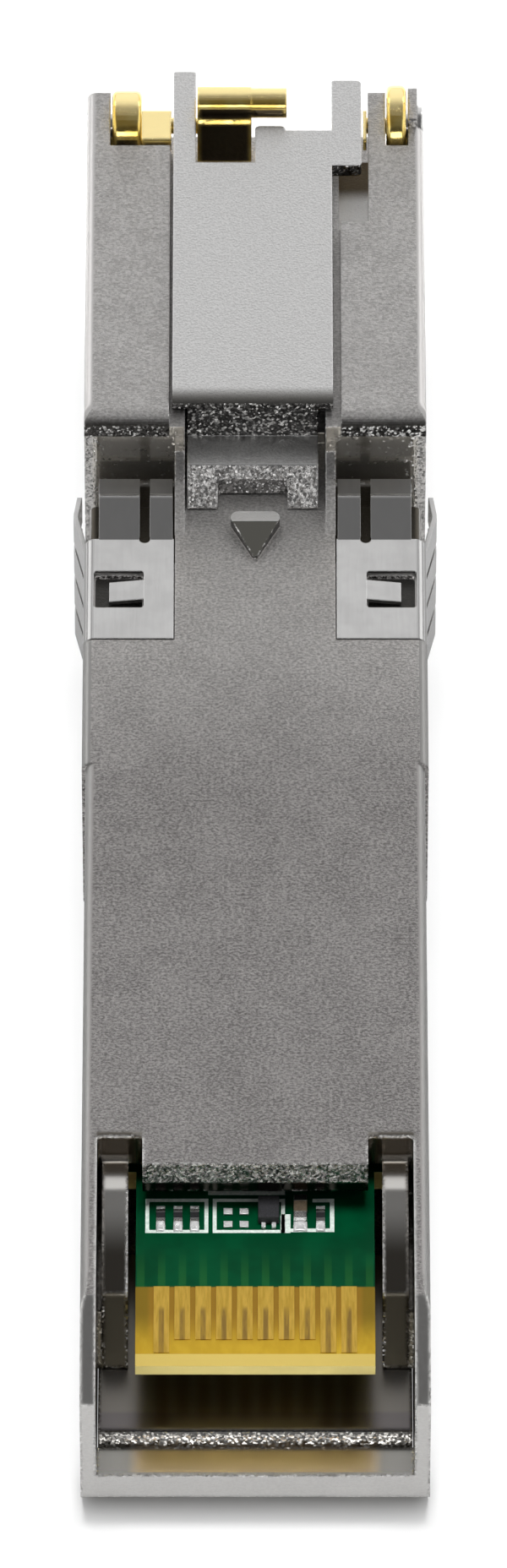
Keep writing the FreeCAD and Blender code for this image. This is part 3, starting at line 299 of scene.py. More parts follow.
def casting_normals(f, at):
    """Normals with soft edges, and the masks of the edges that they find."""
    near_boss = f.product(f.above(at.y, 8.0, 0.3), f.below(at.y, BOSS_FRONT + 0.2, 0.2),
                          f.below(at.aside, BOSS_HALF + 0.3, 0.2))
    rounded = f.soft_edges(f.span(at.y, TAIL_EDGES, TAIL_EDGES - 1.0, 0.12, 0.24))
    at.boss_edge = f.product(f.edges(rounded), at.boss, at.flash)
    soft = f.mix(near_boss, rounded, f.true_normal)
    soft = f.tilted(soft, UP, f.product(at.lip, at.glitter, 0.6))
    at.edge = f.product(f.edges(soft), f.most(at.tail_edges, at.nose_back))
    soft = f.mix(f.product(at.brow, f.below(at.toward_tail, 0.99, 0.09)), soft, UP)
    outward = f.node("ShaderNodeCombineXYZ")
    f.plug(f.math("SIGN", at.x), outward.inputs["X"])
    outward.inputs["Z"].default_value = 1.2
    return f.tilted(soft, outward.outputs[0], at.wall_end)


def casting_flats(f, at, grain):
    """Colour of the grainy outer faces, with light and shade painted in by zone: along the body, at the nose
    and the tail, on the rims, the outer side walls and their bends, and on the nose's rounded rear edge.
    """
    blotch = f.noise(0.6)
    tone = f.add(f.span(grain, 0.32, 0.68), f.span(blotch, 0.3, 0.7, -0.08, 0.08))
    tone = f.add(f.product(f.math("SUBTRACT", tone, 0.5), at.flat), 0.5)
    # Painted light and shade: the body is lighter toward the nose and darker toward the tail.
    rear = f.mix(tone, (0.217, 0.207, 0.202), (0.537, 0.515, 0.505))
    front = f.mix(tone, (0.469, 0.454, 0.443), (0.837, 0.812, 0.795))
    body = f.mix(f.span(at.y, -5.0, 9.0), rear, front)
    # Painted shade on the rounded bends of the outer walls.
    body = f.mix(f.product(at.outside, f.less(at.flat)), body, (0.28, 0.276, 0.269))
    # Painted light and shade: the nose and the tail get tones of their own, set for how each is lit; the
    # tail is lighter than the body's rear.
    nose = f.mix(tone, (0.428, 0.416, 0.408), (0.714, 0.697, 0.685))
    tail = f.mix(tone, (0.655, 0.644, 0.629), (0.72, 0.71, 0.695))
    colour = f.mix(f.below(at.y, TAIL_TONE, 0.5), f.mix(at.nose, body, nose), tail)
    # Painted light on the skirts' sloping rims.
    colour = f.mix(at.rim, colour, (0.535, 0.527, 0.515))
    # Painted shade: the outer side walls get a set, darker tone.
    side_wall_shade = f.span(at.across, 0.985, 0.997)
    colour = f.mix(f.product(at.outside, side_wall_shade), colour, (0.50, 0.494, 0.482))
    # Painted shade: a dark band where the nose's rear edge rounds over toward the tail.
    return f.mix(f.product(at.brow, f.span(at.toward_tail, 0.6, 0.985)), colour, (0.08, 0.076, 0.068))


def casting_hollows(f, at):
    """Colour of the smooth faces that mirror their surroundings, the tail's bay and the nose's rear wall,
    with painted shade in the bay, a painted reflection on the tail's low strip, painted glints on the wall
    and painted light on the posts' tops.
    """
    # Painted shade: faces toward the tail in the bay are near black, the ledges' ends and the corner notches
    # lighter.
    dark = f.mix(at.beside, (0.035, 0.03, 0.026), (0.085, 0.075, 0.054))
    dark = f.mix(at.corner, dark, (0.30, 0.255, 0.20))
    # Painted shade on the bay's other faces: darker on the posts, and a little darker behind the board's
    # end.
    plain = f.mix(at.post, (0.24, 0.225, 0.205), (0.125, 0.113, 0.096))
    plain = f.mix(f.below(at.y, BOARD_END, 0.2), plain, (0.20, 0.185, 0.185))
    shade = f.mix(f.span(at.toward_tail, 0.4, 0.6), plain, dark)
    # Painted reflection: the strip low across the tail is tinted gold in the middle, as if it mirrored the
    # board, and grey at its ends.
    strip = f.mix(f.span(at.aside, 4.4, 5.0), (0.68, 0.57, 0.44), (0.42, 0.41, 0.385))
    shade = f.mix(f.product(f.below(at.y, TAIL_TONE, 0.2), f.below(at.z, 5.3, 0.2)), shade, strip)
    # Painted glints on the nose's rear wall, and a darker set tone at its outer ends, where tilted normals
    # catch the side lights.
    shade = f.mix(at.wall, shade, f.mix(at.wall_flash, (0.55, 0.52, 0.46), PAINTED_GLINT))
    shade = f.mix(at.wall_end, shade, (0.46, 0.45, 0.435))
    # Painted light on the tops of the posts beside the board.
    return f.mix(f.product(at.deep, f.span(at.z, 8.8, 9.4), at.beside), shade, (0.72, 0.70, 0.67))


def casting_boss(f, at, colour):
    """Adds painted light and shade to the latch boss: a painted highlight on top, painted shade on the ramp
    and darker painted shade at the sides.
    """
    colour = f.mix(f.product(at.boss, f.below(at.toward_tail, 0.08, 0.04)), colour, PAINTED_HIGHLIGHT)
    colour = f.mix(at.boss_ramp, colour, (0.19, 0.185, 0.165))
    return f.mix(f.product(at.boss, f.below(at.upward, 0.6, 0.2)), colour, (0.05, 0.047, 0.042))


def casting_recess(f, at, colour):
    """Adds painted light and shade in the recess for the slide's right prong: painted light behind and
    painted shade toward the jack.
    """
    recess = f.product(f.above(at.y, 24.4, 0.2), f.above(at.x, 3.2, 0.1), f.below(at.x, 4.9, 0.1),
                       f.below(at.z, BODY_FACE + 2.6, 0.2), f.above(at.z, BODY_FACE + 1.9, 0.2))
    recess_light_and_shade = f.mix(f.span(at.y, 26.5, 27.4), (0.92, 0.91, 0.895), (0.16, 0.125, 0.08))
    return f.mix(recess, colour, recess_light_and_shade)


def casting_glitter(f, at, colour):
    """Adds painted highlights on the edges, painted glints on the crystals of faces toward the tail over a
    dark painted ground at the nose's rear, and painted light on the tail's ridge.
    """
    # Painted highlights along the edges, on the crystals that flash and on every crystal of the posts.
    glint = f.most(at.flash, f.product(at.post, 0.8))
    colour = f.mix(f.most(f.product(at.edge, glint), at.boss_edge), colour, PAINTED_GLINT)
    # Painted glints on the crystals of faces toward the tail, over a dark painted ground at the nose's rear.
    flash = f.mix(at.brow, at.flash, f.flash(at.crystal, 0.68, 0.85))
    ground = f.mix(at.nose_back, (0.52, 0.50, 0.495), (0.07, 0.067, 0.063))
    speckled = f.product(at.glitter, f.most(f.span(at.y, TAIL_EDGES + 5.0, TAIL_EDGES), at.nose_back))
    colour = f.mix(speckled, colour, f.mix(flash, ground, PAINTED_HIGHLIGHT))
    # Painted light on the tail's ridge.
    return f.mix(f.product(at.glitter, at.lip), colour, (0.62, 0.60, 0.565))


def casting_openings(f, at, colour):
    """Paints shade on what is seen through the collar's windows and between its fingers."""
    upward = f.above(at.upward, 0.5, 0.2)
    window = f.product(f.above(at.y, 0.0, 0.3), f.below(at.y, 9.0, 0.3), f.below(at.z, BODY_FACE - 0.2, 0.1))
    colour = f.mix(f.product(window, upward), colour, (0.10, 0.097, 0.092))
    slit = f.product(f.above(at.y, 8.7, 0.2), f.below(at.y, NOSE_BACK - 0.05, 0.2),
                     f.below(at.z, BODY_FACE - 0.1, 0.05))
    return f.mix(f.product(slit, upward), colour, (0.07, 0.062, 0.05))


def cast_nickel():
    """Satin plating on a grainy casting, whose edges and faces toward the tail glitter, with light and shade
    painted into its colour zone by zone.
    """
    f = Finish("cast_nickel")
    at = casting_zones(f)
    soft = casting_normals(f, at)
    grain = f.noise(10.5, 3.0, 0.75, f.stretched(x=0.7))
    colour = f.mix(at.smooth, casting_flats(f, at, grain), casting_hollows(f, at))
    for add_colour in (casting_boss, casting_recess, casting_glitter, casting_openings):
        colour = add_colour(f, at, colour)
    f.set(base_color=colour, metallic=f.less(f.product(at.wall, 0.15)))
    sheen = f.span(at.z, 6.5, 5.8, 0.17, 0.27)
    rough = f.mix(at.even, f.span(grain, 0.3, 0.7, 0.30, 0.42), sheen)
    f.set(roughness=f.less(f.product(at.glitter, 0.1), rough))
    glitter_lean = f.span(at.y, TAIL_EDGES + 5.0, TAIL_EDGES, 1.3, 1.8)
    lean = f.product(at.glitter, glitter_lean, f.less(f.product(at.lip, 0.5)))
    edge_lean = f.product(at.edge, f.span(at.y, TAIL_END + 0.85, TAIL_END + 0.45, 0.8, 1.8))
    wall_lean = f.product(at.wall, at.wall_flash, 1.2)
    lean = f.most(lean, edge_lean, wall_lean, at.wall_end, f.product(at.boss_edge, 1.2))
    grainy = f.product(at.flat, f.less(at.end_face), f.less(at.even), f.less(at.rim))
    f.bump(grain, grainy, 0.06, f.sparkle(at.crystal, lean, soft))
    return f.material


def slide_nickel():
    """Finer satin plating than the shell's; the faces toward the tail are crystalline, with painted glints
    on a dark painted ground, and painted shade where the top rolls over the rear edge.
    """
    f = Finish("slide_nickel")
    y, z = f.axis("Y"), f.axis("Z")
    toward_tail = f.facing(y=-1.0)
    grain = f.noise(11.0, 3.0, 0.6)
    crystal = f.crystals(11.0)
    tines = f.below(y, SLIDE_BACK - 0.5, 0.2)
    brow = f.product(f.less(tines), f.below(y, SLIDE_BACK + 0.8, 0.2), f.above(z, BODY_FACE + 2.0, 0.1))
    starts, full = f.span(brow, 0.0, 1.0, 0.65, 0.88), f.span(brow, 0.0, 1.0, 0.8, 0.96)
    glitter = f.most(f.span(toward_tail, starts, full), f.product(tines, f.span(toward_tail, 0.45, 0.6)))
    bent = f.product(f.above(toward_tail, 0.06, 0.09), f.less(glitter), f.less(brow))
    colour = f.mix(f.span(grain, 0.3, 0.7), (0.62, 0.615, 0.61), (0.79, 0.785, 0.78))
    # Painted shade where the top rolls over the rear edge.
    rolled_over_shade = f.product(f.above(z, BODY_FACE + 2.8, 0.2), f.below(y, SLIDE_BACK + 0.75, 0.65))
    colour = f.mix(rolled_over_shade, colour, (0.22, 0.213, 0.20))
    colour = f.mix(f.product(glitter, tines), colour, (0.56, 0.55, 0.54))
    # Painted glints on a dark painted ground, on the faces toward the tail above the tines.
    speckled = f.mix(f.flash(crystal, 0.62, 0.85), (0.06, 0.058, 0.056), (0.80, 0.79, 0.77))
    f.set(base_color=f.mix(f.product(glitter, f.less(tines)), colour, speckled), metallic=1.0)
    rough = f.less(f.product(bent, 0.14), f.span(grain, 0.3, 0.7, 0.28, 0.38))
    f.set(roughness=f.less(f.product(glitter, 0.22), rough))
    lean = f.product(glitter, f.add(f.product(tines, 0.1), 1.2))
    soft = f.mix(f.product(brow, f.below(toward_tail, 0.97, 0.12)), f.soft_edges(0.1), UP)
    f.bump(grain, f.product(f.less(bent), 0.45), 0.05, f.sparkle(crystal, lean, soft))
    return f.material


def spring_steel():
    """Smooth rolled sheet with faint rolling lines, and painted light and shade: darker bends, darker rising
    faces of the fingers on the latch side, light tips, and darker tips where they face the latch side.
    """
    f = Finish("spring_steel")
    rolled = f.noise(6.0, 3.0, 0.6, f.stretched(y=0.06))
    cloud = f.noise(0.9)
    tone = f.add(f.span(rolled, 0.3, 0.7, 0.0, 0.4), f.span(cloud, 0.3, 0.7, 0.0, 0.6))
    colour = f.mix(tone, (0.57, 0.565, 0.56), (0.67, 0.665, 0.66))
    across = f.size(f.facing(x=1.0))
    # Painted shade on the bends.
    bend = f.product(f.span(across, 0.1, 0.4), f.span(across, 0.997, 0.985))
    colour = f.mix(bend, colour, (0.34, 0.337, 0.333))
    # Painted shade on the fingers' rising faces on the latch side.
    latch_side = f.span(f.facing(z=1.0), 0.4, 0.6)
    rising = f.product(f.span(f.facing(y=-1.0), 0.05, 0.12), latch_side)
    colour = f.mix(rising, colour, (0.43, 0.427, 0.423))
    # Painted light on the tips, then painted shade where the tips face the latch side.
    tip = f.span(f.facing(y=1.0), 0.05, 0.12)
    colour = f.mix(tip, colour, (0.92, 0.915, 0.91))
    f.set(base_color=f.mix(f.product(tip, latch_side), colour, (0.31, 0.309, 0.312)), metallic=1.0)
    f.set(roughness=f.add(f.span(rolled, 0.3, 0.7, 0.16, 0.22), f.product(tip, 0.35)))
    f.bump(rolled, 0.04, 0.02, f.soft_edges(0.05))
    return f.material


def bail_gold():
    """Polished gold-tone plating, slightly wavy where it was tumbled, with painted shade on the faces toward
    the tail and a painted whitish highlight on the faces that look up.
    """
    f = Finish("bail_gold")
    wave = f.noise(1.3)
    dust = f.noise(14.0, 2.0, 0.7)
    colour = f.mix(f.span(wave, 0.3, 0.7), (0.92, 0.63, 0.14), (1.0, 0.79, 0.28))
    # Painted shade: faces toward the tail are near black away from their edges.
    face = f.product(f.span(f.facing(y=-1.0), 0.9, 0.97), f.less(f.edges(f.soft_edges(0.35))))
    colour = f.mix(face, colour, (0.095, 0.074, 0.045))
    # Painted highlight: faces that look up are whitish and less metallic.
    painted_top_light = f.span(f.facing(z=1.0), 0.78, 0.98)
    f.set(base_color=f.mix(painted_top_light, colour, (1.0, 0.82, 0.40)), metallic=f.less(f.product(painted_top_light, 0.14)))
    f.set(roughness=f.span(dust, 0.3, 0.75, 0.07, 0.15))
    f.bump(wave, 0.2, 0.08, f.soft_edges(0.14))
    return f.material


def pin_steel():
    f = Finish("pin_steel")
    dust = f.noise(9.0, 3.0, 0.6)
    colour = f.mix(f.span(dust, 0.3, 0.7), (0.66, 0.655, 0.65), (0.78, 0.775, 0.77))
    f.set(base_color=colour, metallic=1.0, roughness=f.span(dust, 0.3, 0.7, 0.1, 0.18))
    f.bump(dust, 0.03, 0.02, f.soft_edges(0.1))
    return f.material


def circuit_board():
    """Green solder mask with lighter tracks; bare yellow laminate at the card edge."""
    f = Finish("circuit_board")
    x, y = f.axis("X"), f.axis("Y")
    upward = f.facing(z=1.0)
    weave = f.noise(3.2, vector=f.stretched(y=0.5))
    cloud = f.noise(0.9)
    laminate = f.mix(f.span(weave, 0.3, 0.7), (0.325, 0.205, 0.016), (0.37, 0.24, 0.0205))
    # Painted shade: the laminate between the pads is darker toward the mask.
    between = f.mix(f.span(f.size(x), 4.2, 4.0), (0.115, 0.075, 0.009), (0.17, 0.09, 0.012))
    under_pads = f.span(y, PAD_ROW - 3.3, PAD_ROW - 1.2)
    laminate = f.mix(f.product(under_pads, 0.9), laminate, between)
    bevel = f.span(upward, 0.95, 0.88)
    laminate = f.mix(bevel, laminate, (0.53, 0.40, 0.108))
    mask = f.mix(f.span(cloud, 0.3, 0.7), (0.0, 0.032, 0.011), (0.0, 0.045, 0.0155))
    off = f.from_pitch(x)
    track = f.product(f.span(off, 0.42, 0.40), f.span(off, 0.2, 0.16),
                      f.span(y, PAD_ROW + 2.1, PAD_ROW + 0.2))
    mask = f.mix(f.product(track, 0.3), mask, (0.02, 0.11, 0.02))
    bare = f.span(y, PAD_ROW + 0.03, PAD_ROW - 0.03)
    colour = f.mix(bare, mask, laminate)
    edge = f.span(upward, 0.6, 0.5)
    colour = f.mix(f.product(edge, 0.9), colour, (1.0, 0.84, 0.33))
    f.set(base_color=colour, roughness=f.add(f.product(bare, 0.14), 0.32), specular_ior_level=0.06)
    f.bump(weave, 0.06, 0.03)
    return f.material


def contact_gold():
    """Gold fingers with a dull streak where a connector has wiped each one."""
    f = Finish("contact_gold")
    fine = f.noise(7.0, 3.0, 0.6, f.stretched(y=0.12))
    streak = f.product(f.span(f.from_pitch(f.axis("X")), 0.17, 0.08),
                       f.span(f.axis("Y"), PAD_ROW - 0.9, PAD_ROW - 1.3), f.span(fine, 0.3, 0.6, 0.4, 0.9))
    colour = f.mix(f.span(fine, 0.3, 0.7), (0.53, 0.33, 0.046), (0.72, 0.47, 0.085))
    colour = f.mix(streak, colour, (0.26, 0.155, 0.04))
    f.set(base_color=colour, metallic=0.85, roughness=f.span(fine, 0.3, 0.7, 0.34, 0.46))
    f.bump(fine, 0.05, 0.02)
    return f.material


def tin_solder():
    f = Finish("tin_solder")
    lumps = f.noise(5.0)
    colour = f.mix(f.span(lumps, 0.3, 0.7), (0.84, 0.84, 0.84), (0.95, 0.95, 0.95))
    f.set(base_color=colour, metallic=0.6, roughness=f.span(lumps, 0.3, 0.7, 0.14, 0.3))
    f.bump(lumps, 0.12, 0.05)
    return f.material


def black_epoxy():
    f = Finish("black_epoxy")
    speck = f.noise(16.0, 3.0, 0.7)
    colour = f.mix(f.span(speck, 0.35, 0.7), (0.012, 0.012, 0.014), (0.035, 0.035, 0.038))
    f.set(base_color=colour, roughness=f.span(speck, 0.3, 0.7, 0.45, 0.62))
    f.bump(speck, 0.12, 0.02)
    return f.material


def from_middle(f, box):
    """How far a point lies from the middle of a node's box along Y, in millimetres."""
    low, high = box
    return f.size(f.math("SUBTRACT", f.axis("Y"), (low[1] + high[1]) / 2 / MM))


def resistor_black():
    """Black chip with tinned ends."""
    f = Finish("resistor_black")
    end = f.span(from_middle(f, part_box("chip_resistors")), 0.15, 0.17)
    speck = f.noise(16.0, 3.0, 0.7)
    body = f.mix(f.span(speck, 0.35, 0.7), (0.008, 0.008, 0.009), (0.02, 0.02, 0.022))
    f.set(base_color=f.mix(end, body, (0.85, 0.85, 0.84)), metallic=end)
    f.set(roughness=f.less(f.product(end, 0.25), 0.5))
    f.bump(speck, 0.15, 0.02)
    return f.material


def tan_ceramic():
    """Ceramic chip with tinned ends."""
    f = Finish("tan_ceramic")
    end = f.span(from_middle(f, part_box("chip_capacitor")), 0.26, 0.28)
    speck = f.noise(12.0)
    body = f.mix(f.span(speck, 0.3, 0.7), (0.045, 0.034, 0.022), (0.08, 0.06, 0.038))
    f.set(base_color=f.mix(end, body, (0.82, 0.82, 0.81)), metallic=end)
    f.set(roughness=f.less(f.product(end, 0.28), 0.5))
    f.bump(speck, 0.15, 0.03)
    return f.material


def gap_pad():
    f = Finish("gap_pad")
    speck = f.noise(6.0, 3.0)
    colour = f.mix(speck, (0.12, 0.16, 0.20), (0.22, 0.27, 0.31))
    f.set(base_color=colour, roughness=f.span(speck, 0.3, 0.7, 0.7, 0.9))
    f.bump(speck, 0.3, 0.05)
    return f.material


def black_plastic():
    f = Finish("black_plastic")
    speck = f.noise(9.0, 3.0, 0.6)
    colour = f.mix(f.span(speck, 0.3, 0.7), (0.008, 0.008, 0.008), (0.022, 0.022, 0.023))
    f.set(base_color=colour, roughness=f.span(speck, 0.3, 0.7, 0.36, 0.5))
    f.bump(speck, 0.15, 0.03)
    return f.material


def white_ink():
    f = Finish("white_ink")
    speck = f.noise(7.0, 3.0, 0.6)
    colour = f.mix(f.span(speck, 0.3, 0.7), (0.44, 0.51, 0.47), (0.62, 0.67, 0.63))
    f.set(base_color=colour, roughness=f.span(speck, 0.3, 0.7, 0.5, 0.65))
    f.bump(speck, 0.2, 0.01)
    return f.material


MAKERS = {
    "cast_nickel": cast_nickel, "slide_nickel": slide_nickel, "spring_steel": spring_steel,
    "bail_gold": bail_gold, "pin_steel": pin_steel, "circuit_board": circuit_board,
    "contact_gold": contact_gold, "tin_solder": tin_solder, "black_epoxy": black_epoxy,
    "tan_ceramic": tan_ceramic, "gap_pad": gap_pad, "black_plastic": black_plastic,
}
finishes = {name: make() for name, make in MAKERS.items()}
for part in frame["record"]["subparts"]:
    mesh = frame["nodes"][part["node"]].data
    mesh.materials.clear()
    mesh.materials.append(finishes[part["material_slot"]])
frame["nodes"]["chip_resistors"].data.materials[0] = resistor_black()


def new_mesh(name, vertices, faces, material):
    """A mesh object from vertices in millimetres."""
    mesh = bpy.data.meshes.new(name)
    mesh.from_pydata([tuple(c * MM for c in v) for v in vertices], [], faces)
    mesh.materials.append(material)
    made = bpy.data.objects.new(name, mesh)
    bpy.context.scene.collection.objects.link(made)
    return made


# White outlines printed on the board round the small parts, with no lettering
INK_LIFT = 0.012
INK_LINE = 0.15
INK_BACK = -24.44
INK_FRONT = -22.71
CLOSED_BOXES = ((-4.24, -1.81), (-1.64, 1.15))
HOOK_LEFT = 1.36
HOOK_RIGHT = 3.05
HOOK_LINE = 0.17
OPEN_HOOK = (
    (0.98, HOOK_LEFT, INK_BACK, -23.5),
    (HOOK_LEFT, HOOK_RIGHT, INK_BACK + 0.05, INK_BACK + 0.05 + HOOK_LINE),
    (HOOK_RIGHT - HOOK_LINE, HOOK_RIGHT, INK_BACK + 0.05 + HOOK_LINE, INK_FRONT),
    (2.21, HOOK_RIGHT - HOOK_LINE, INK_FRONT - HOOK_LINE, INK_FRONT),
)
LONG_BAR = (-1.82, 1.15, -22.51, -22.31)
ink_vertices, ink_faces = [], []


def ink_bar(x0, x1, y0, y1):
    """One printed bar as a thin closed slab on the board's face."""
    start = len(ink_vertices)
    for z in (BOARD_FACE - INK_LIFT, BOARD_FACE + INK_LIFT):
        ink_vertices.extend([(x0, y0, z), (x1, y0, z), (x1, y1, z), (x0, y1, z)])
    for face in ((3, 2, 1, 0), (4, 5, 6, 7), (0, 1, 5, 4), (1, 2, 6, 5), (2, 3, 7, 6), (3, 0, 4, 7)):
        ink_faces.append(tuple(start + i for i in face))


def ink_frame(x0, x1, y0, y1):
    ink_bar(x0, x1, y0, y0 + INK_LINE)
    ink_bar(x0, x1, y1 - INK_LINE, y1)
    ink_bar(x0, x0 + INK_LINE, y0 + INK_LINE, y1 - INK_LINE)
    ink_bar(x1 - INK_LINE, x1, y0 + INK_LINE, y1 - INK_LINE)


for left, right in CLOSED_BOXES:
    ink_frame(left, right, INK_BACK, INK_FRONT)
for bar in (*OPEN_HOOK, LONG_BAR):
    ink_bar(*bar)
outlines = new_mesh("board_outlines", ink_vertices, ink_faces, white_ink())
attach(outlines, "module")


# Domed solder on the bare pads, and rounded joints at the resistors' and capacitor's tail ends
SMALL_ROW = PAD_ROW + 3.44
BARE_PADS = (-1.05, -0.43)
BARE_PAD_OFFSET = 0.325
BARE_PAD_SIZE = (0.34, 0.3)
RESISTORS = (-3.65, -2.98, -2.34, 2.52)
RESISTOR_END = SMALL_ROW - 0.49
RESISTOR_JOINT_SIZE = (0.37, 0.36)
CAPACITOR = 1.74
CAPACITOR_END = SMALL_ROW - 0.475
CAPACITOR_JOINT_SIZE = (0.54, 0.37)
STEPS = 8
solder_vertices, solder_faces = [], []


def solder_patch(x, y, size, height):
    """A closed cushion of solder: height(u, v) gives its top over the pad's width and length."""
    width, length = size
    start = len(solder_vertices)
    rows = STEPS + 1
    for level in (0, 1):
        for j in range(rows):
            for i in range(rows):
                u, v = i / STEPS, j / STEPS
                z = BOARD_FACE + (height(u, v) if level else 0.0)
                solder_vertices.append((x + (u - 0.5) * width, y + (v - 0.5) * length, z))
    top = rows * rows
    for j in range(STEPS):
        for i in range(STEPS):
            a = start + j * rows + i
            solder_faces.append((a, a + rows, a + rows + 1, a + 1))
            solder_faces.append((top + a, top + a + 1, top + a + rows + 1, top + a + rows))
    rim = list(range(STEPS)) + [j * rows + STEPS for j in range(STEPS)]
    rim += [STEPS * rows + i for i in range(STEPS, 0, -1)] + [j * rows for j in range(STEPS, 0, -1)]
    for here, there in zip(rim, rim[1:] + rim[:1]):
        solder_faces.append((start + here, start + there, start + top + there, start + top + here))


def cushion(u, v):
    """A dome with a low rim."""
    return 0.035 + 0.11 * math.sin(math.pi * u) ** 0.6 * math.sin(math.pi * v) ** 0.6


def joint(u, v):
    """Rises in a round from the outer end, where v is 0, and runs level into the chip."""
    return 0.02 + 0.2 * math.sqrt(1 - (1 - v) ** 2) * math.sin(math.pi * u) ** 0.35


for x in BARE_PADS:
    for y in (SMALL_ROW - BARE_PAD_OFFSET, SMALL_ROW + BARE_PAD_OFFSET):
        solder_patch(x, y, BARE_PAD_SIZE, cushion)
for x in RESISTORS:
    solder_patch(x, RESISTOR_END, RESISTOR_JOINT_SIZE, joint)
solder_patch(CAPACITOR, CAPACITOR_END, CAPACITOR_JOINT_SIZE, joint)
solder = new_mesh("solder_cushions", solder_vertices, solder_faces, finishes["tin_solder"])
for polygon in solder.data.polygons:
    polygon.use_smooth = True
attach(solder, "module")


# Floor under the tail's lower edge and the nose's rear lower edge, where the part rests, in millimetres
REST_NOSE = Vector((0.0, NOSE_BACK, 0.0))
REST_TAIL = Vector((0.0, -32.3, 2.25))
FLOOR_HALF = 3000
FLOOR_GAP = 0.02
# In the floor's own millimetres, measured from the nose's rest
TAIL_ON_FLOOR = -45.8
NOSE_REFLECTION = 28.0


def floor_white():
    """White paper that glows to the camera, with a painted shadow before and under the tail, and a painted
    shade that only reflections see before the nose.
    """
    f = Finish("floor_white")
    y = f.axis("Y")
    paper = f.mix(f.noise(0.05), (0.92, 0.92, 0.92), (0.95, 0.95, 0.95))
    # Painted shadow: the paper is darker before and under the tail.
    painted_tail_shadow = f.product(f.span(y, TAIL_ON_FLOOR - 2.9, TAIL_ON_FLOOR),
                           f.below(y, TAIL_ON_FLOOR + 2.8, 1.0), f.span(f.size(f.axis("X")), 7.2, 6.0))
    f.set(base_color=f.mix(painted_tail_shadow, paper, (0.40, 0.40, 0.40)), roughness=0.9, specular_ior_level=0.1)

    # The glow to the camera fades toward the tail's edge, giving the painted shadow its fade.
    beside_part = f.span(y, TAIL_ON_FLOOR + 1.8, TAIL_ON_FLOOR - 0.2, 0.6, 0.03)
    before_tail = f.span(y, TAIL_ON_FLOOR, TAIL_ON_FLOOR - 2.7, 0.03, 0.8)
    rays = f.node("ShaderNodeLightPath").outputs
    seen = f.node("ShaderNodeMixShader")
    f.plug(f.product(rays["Is Camera Ray"], f.most(beside_part, before_tail)), seen.inputs[0])
    f.plug(f.shader.outputs["BSDF"], seen.inputs[1])
    f.plug(f.node("ShaderNodeEmission").outputs[0], seen.inputs[2])

    # Painted shade seen only in reflections: glossy rays find darker paper before the nose.
    reflected_shade = f.node("ShaderNodeBsdfDiffuse")
    reflected_shade.inputs["Color"].default_value = (0.3, 0.3, 0.3, 1.0)
    before_nose = f.span(y, NOSE_REFLECTION, NOSE_REFLECTION - 4.0, 0.0, 0.75)
    mirrored = f.node("ShaderNodeMixShader")
    f.plug(f.product(rays["Is Glossy Ray"], before_nose), mirrored.inputs[0])
    f.plug(seen.outputs[0], mirrored.inputs[1])
    f.plug(reflected_shade.outputs[0], mirrored.inputs[2])
    f.plug(mirrored.outputs[0], f.out.inputs["Surface"])
    return f.material


bpy.ops.mesh.primitive_plane_add(size=2 * FLOOR_HALF * MM)
floor = bpy.context.object
floor.name = "floor"
floor_tilt = math.atan2(REST_TAIL.z - REST_NOSE.z, REST_NOSE.y - REST_TAIL.y)
floor.rotation_euler = (-floor_tilt, 0.0, 0.0)
floor.location = (REST_NOSE - Vector((0.0, 0.0, FLOOR_GAP))) * MM
floor.data.materials.append(floor_white())


# Studio sky: brightness from behind the camera, at 0, to beyond the nose, at 1, and white to the camera
SKY = (
    (0.0, 0.06), (0.1, 0.06), (0.16, 0.14), (0.5, 0.16), (0.62, 0.19),
    (0.7, 0.36), (0.78, 0.68), (0.86, 0.88), (1.0, 1.0),
)
world = bpy.data.worlds.new("studio")
bpy.context.scene.world = world
world.use_nodes = True
tree = world.node_tree
tree.nodes.clear()
coords = tree.nodes.new("ShaderNodeTexCoord")
split = tree.nodes.new("ShaderNodeSeparateXYZ")
tree.links.new(coords.outputs["Generated"], split.inputs[0])
along = tree.nodes.new("ShaderNodeMapRange")
along.inputs["From Min"].default_value = -1.0
tree.links.new(split.outputs["Y"], along.inputs["Value"])
ramp = tree.nodes.new("ShaderNodeValToRGB")
tree.links.new(along.outputs[0], ramp.inputs["Fac"])
while len(ramp.color_ramp.elements) < len(SKY):
    ramp.color_ramp.elements.new(0.5)
for stop, (place, level) in zip(ramp.color_ramp.elements, SKY):
    stop.position = place
    stop.color = (level, level, level, 1.0)
glow = tree.nodes.new("ShaderNodeBackground")
tree.links.new(ramp.outputs["Color"], glow.inputs["Color"])
white = tree.nodes.new("ShaderNodeBackground")
white.inputs["Color"].default_value = (1.0, 1.0, 1.0, 1.0)
path = tree.nodes.new("ShaderNodeLightPath")
choose = tree.nodes.new("ShaderNodeMixShader")
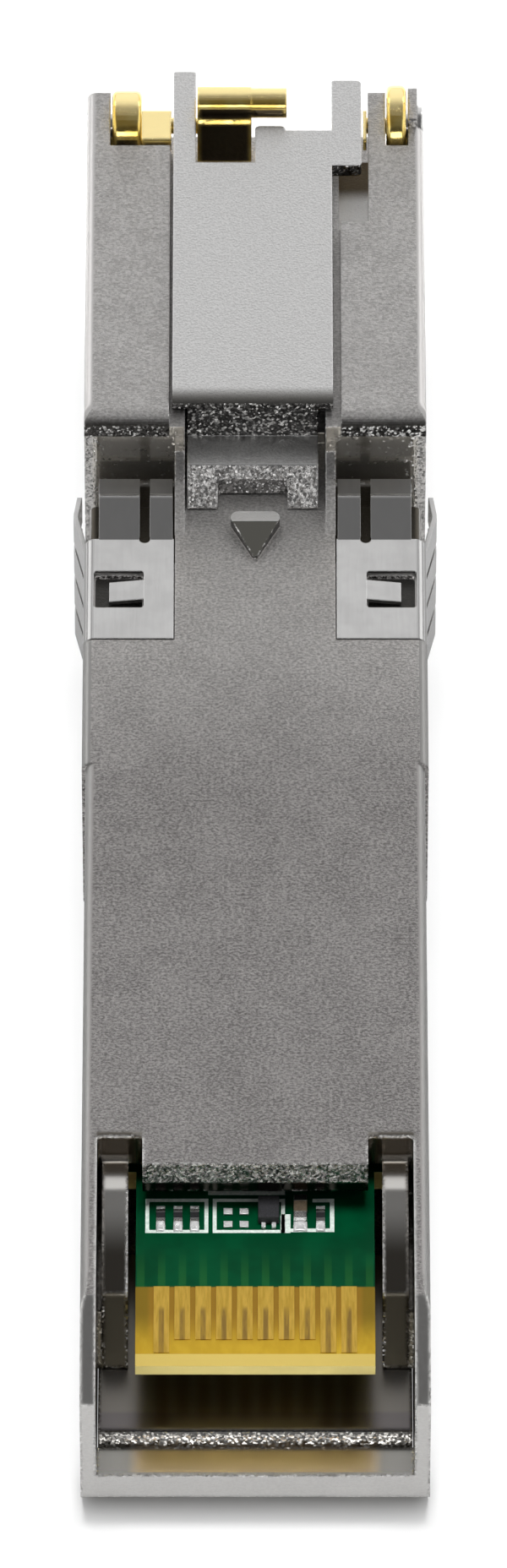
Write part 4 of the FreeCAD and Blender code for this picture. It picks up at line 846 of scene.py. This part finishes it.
tree.links.new(path.outputs["Is Camera Ray"], choose.inputs[0])
tree.links.new(glow.outputs[0], choose.inputs[1])
tree.links.new(white.outputs[0], choose.inputs[2])
out = tree.nodes.new("ShaderNodeOutputWorld")
tree.links.new(choose.outputs[0], out.inputs["Surface"])


# Soft lights, in metres and watts
PART = (0.0, 0.0, 0.005)
BODY_MIDDLE = (0.0, -0.01, 0.005)
SIDES = (("left", -1), ("right", 1))


def softbox(name, place, aim, size, watts, mirrored=True, lighting=True):
    """A rectangular light, which may be hidden from reflections or from plain lighting."""
    data = bpy.data.lights.new(name, "AREA")
    data.shape = "RECTANGLE"
    data.size, data.size_y = size
    data.energy = watts
    made = bpy.data.objects.new(name, data)
    bpy.context.scene.collection.objects.link(made)
    made.location = place
    made.rotation_euler = (Vector(aim) - Vector(place)).to_track_quat("-Z", "Y").to_euler()
    made.visible_glossy = mirrored
    made.visible_diffuse = lighting


softbox("key", (0.0, 0.07, 0.65), BODY_MIDDLE, size=(0.3, 0.15), watts=5.2, mirrored=False)
for side, sign in SIDES:
    softbox(side, (sign * 0.65, -0.05, 0.32), PART, size=(1.0, 0.5), watts=1.4)
for side, sign in SIDES:
    softbox(f"{side}_back", (sign * 0.62, 0.6, 0.34), PART, size=(0.2, 0.4), watts=0.4)
softbox("front", (0.0, -0.85, 0.32), PART, size=(0.9, 0.24), watts=1.7, lighting=False)


# Long lens on the part's middle plane, 48 degrees above its axis
ELEVATION = math.radians(48)
TARGET = Vector((-0.067, -3.25, BODY_FACE)) * MM
DISTANCE = 581 * MM
camera_data = bpy.data.cameras.new("camera")
camera_data.lens = 338.5
camera_data.sensor_width = 36
camera_data.clip_start = 0.01
camera_data.clip_end = 20
camera = bpy.data.objects.new("camera", camera_data)
bpy.context.scene.collection.objects.link(camera)
camera.location = TARGET + DISTANCE * Vector((0, -math.cos(ELEVATION), math.sin(ELEVATION)))
camera.rotation_euler = (math.pi / 2 - ELEVATION, 0, 0)
bpy.context.scene.camera = camera
bpy.context.scene.view_settings.view_transform = "Standard"
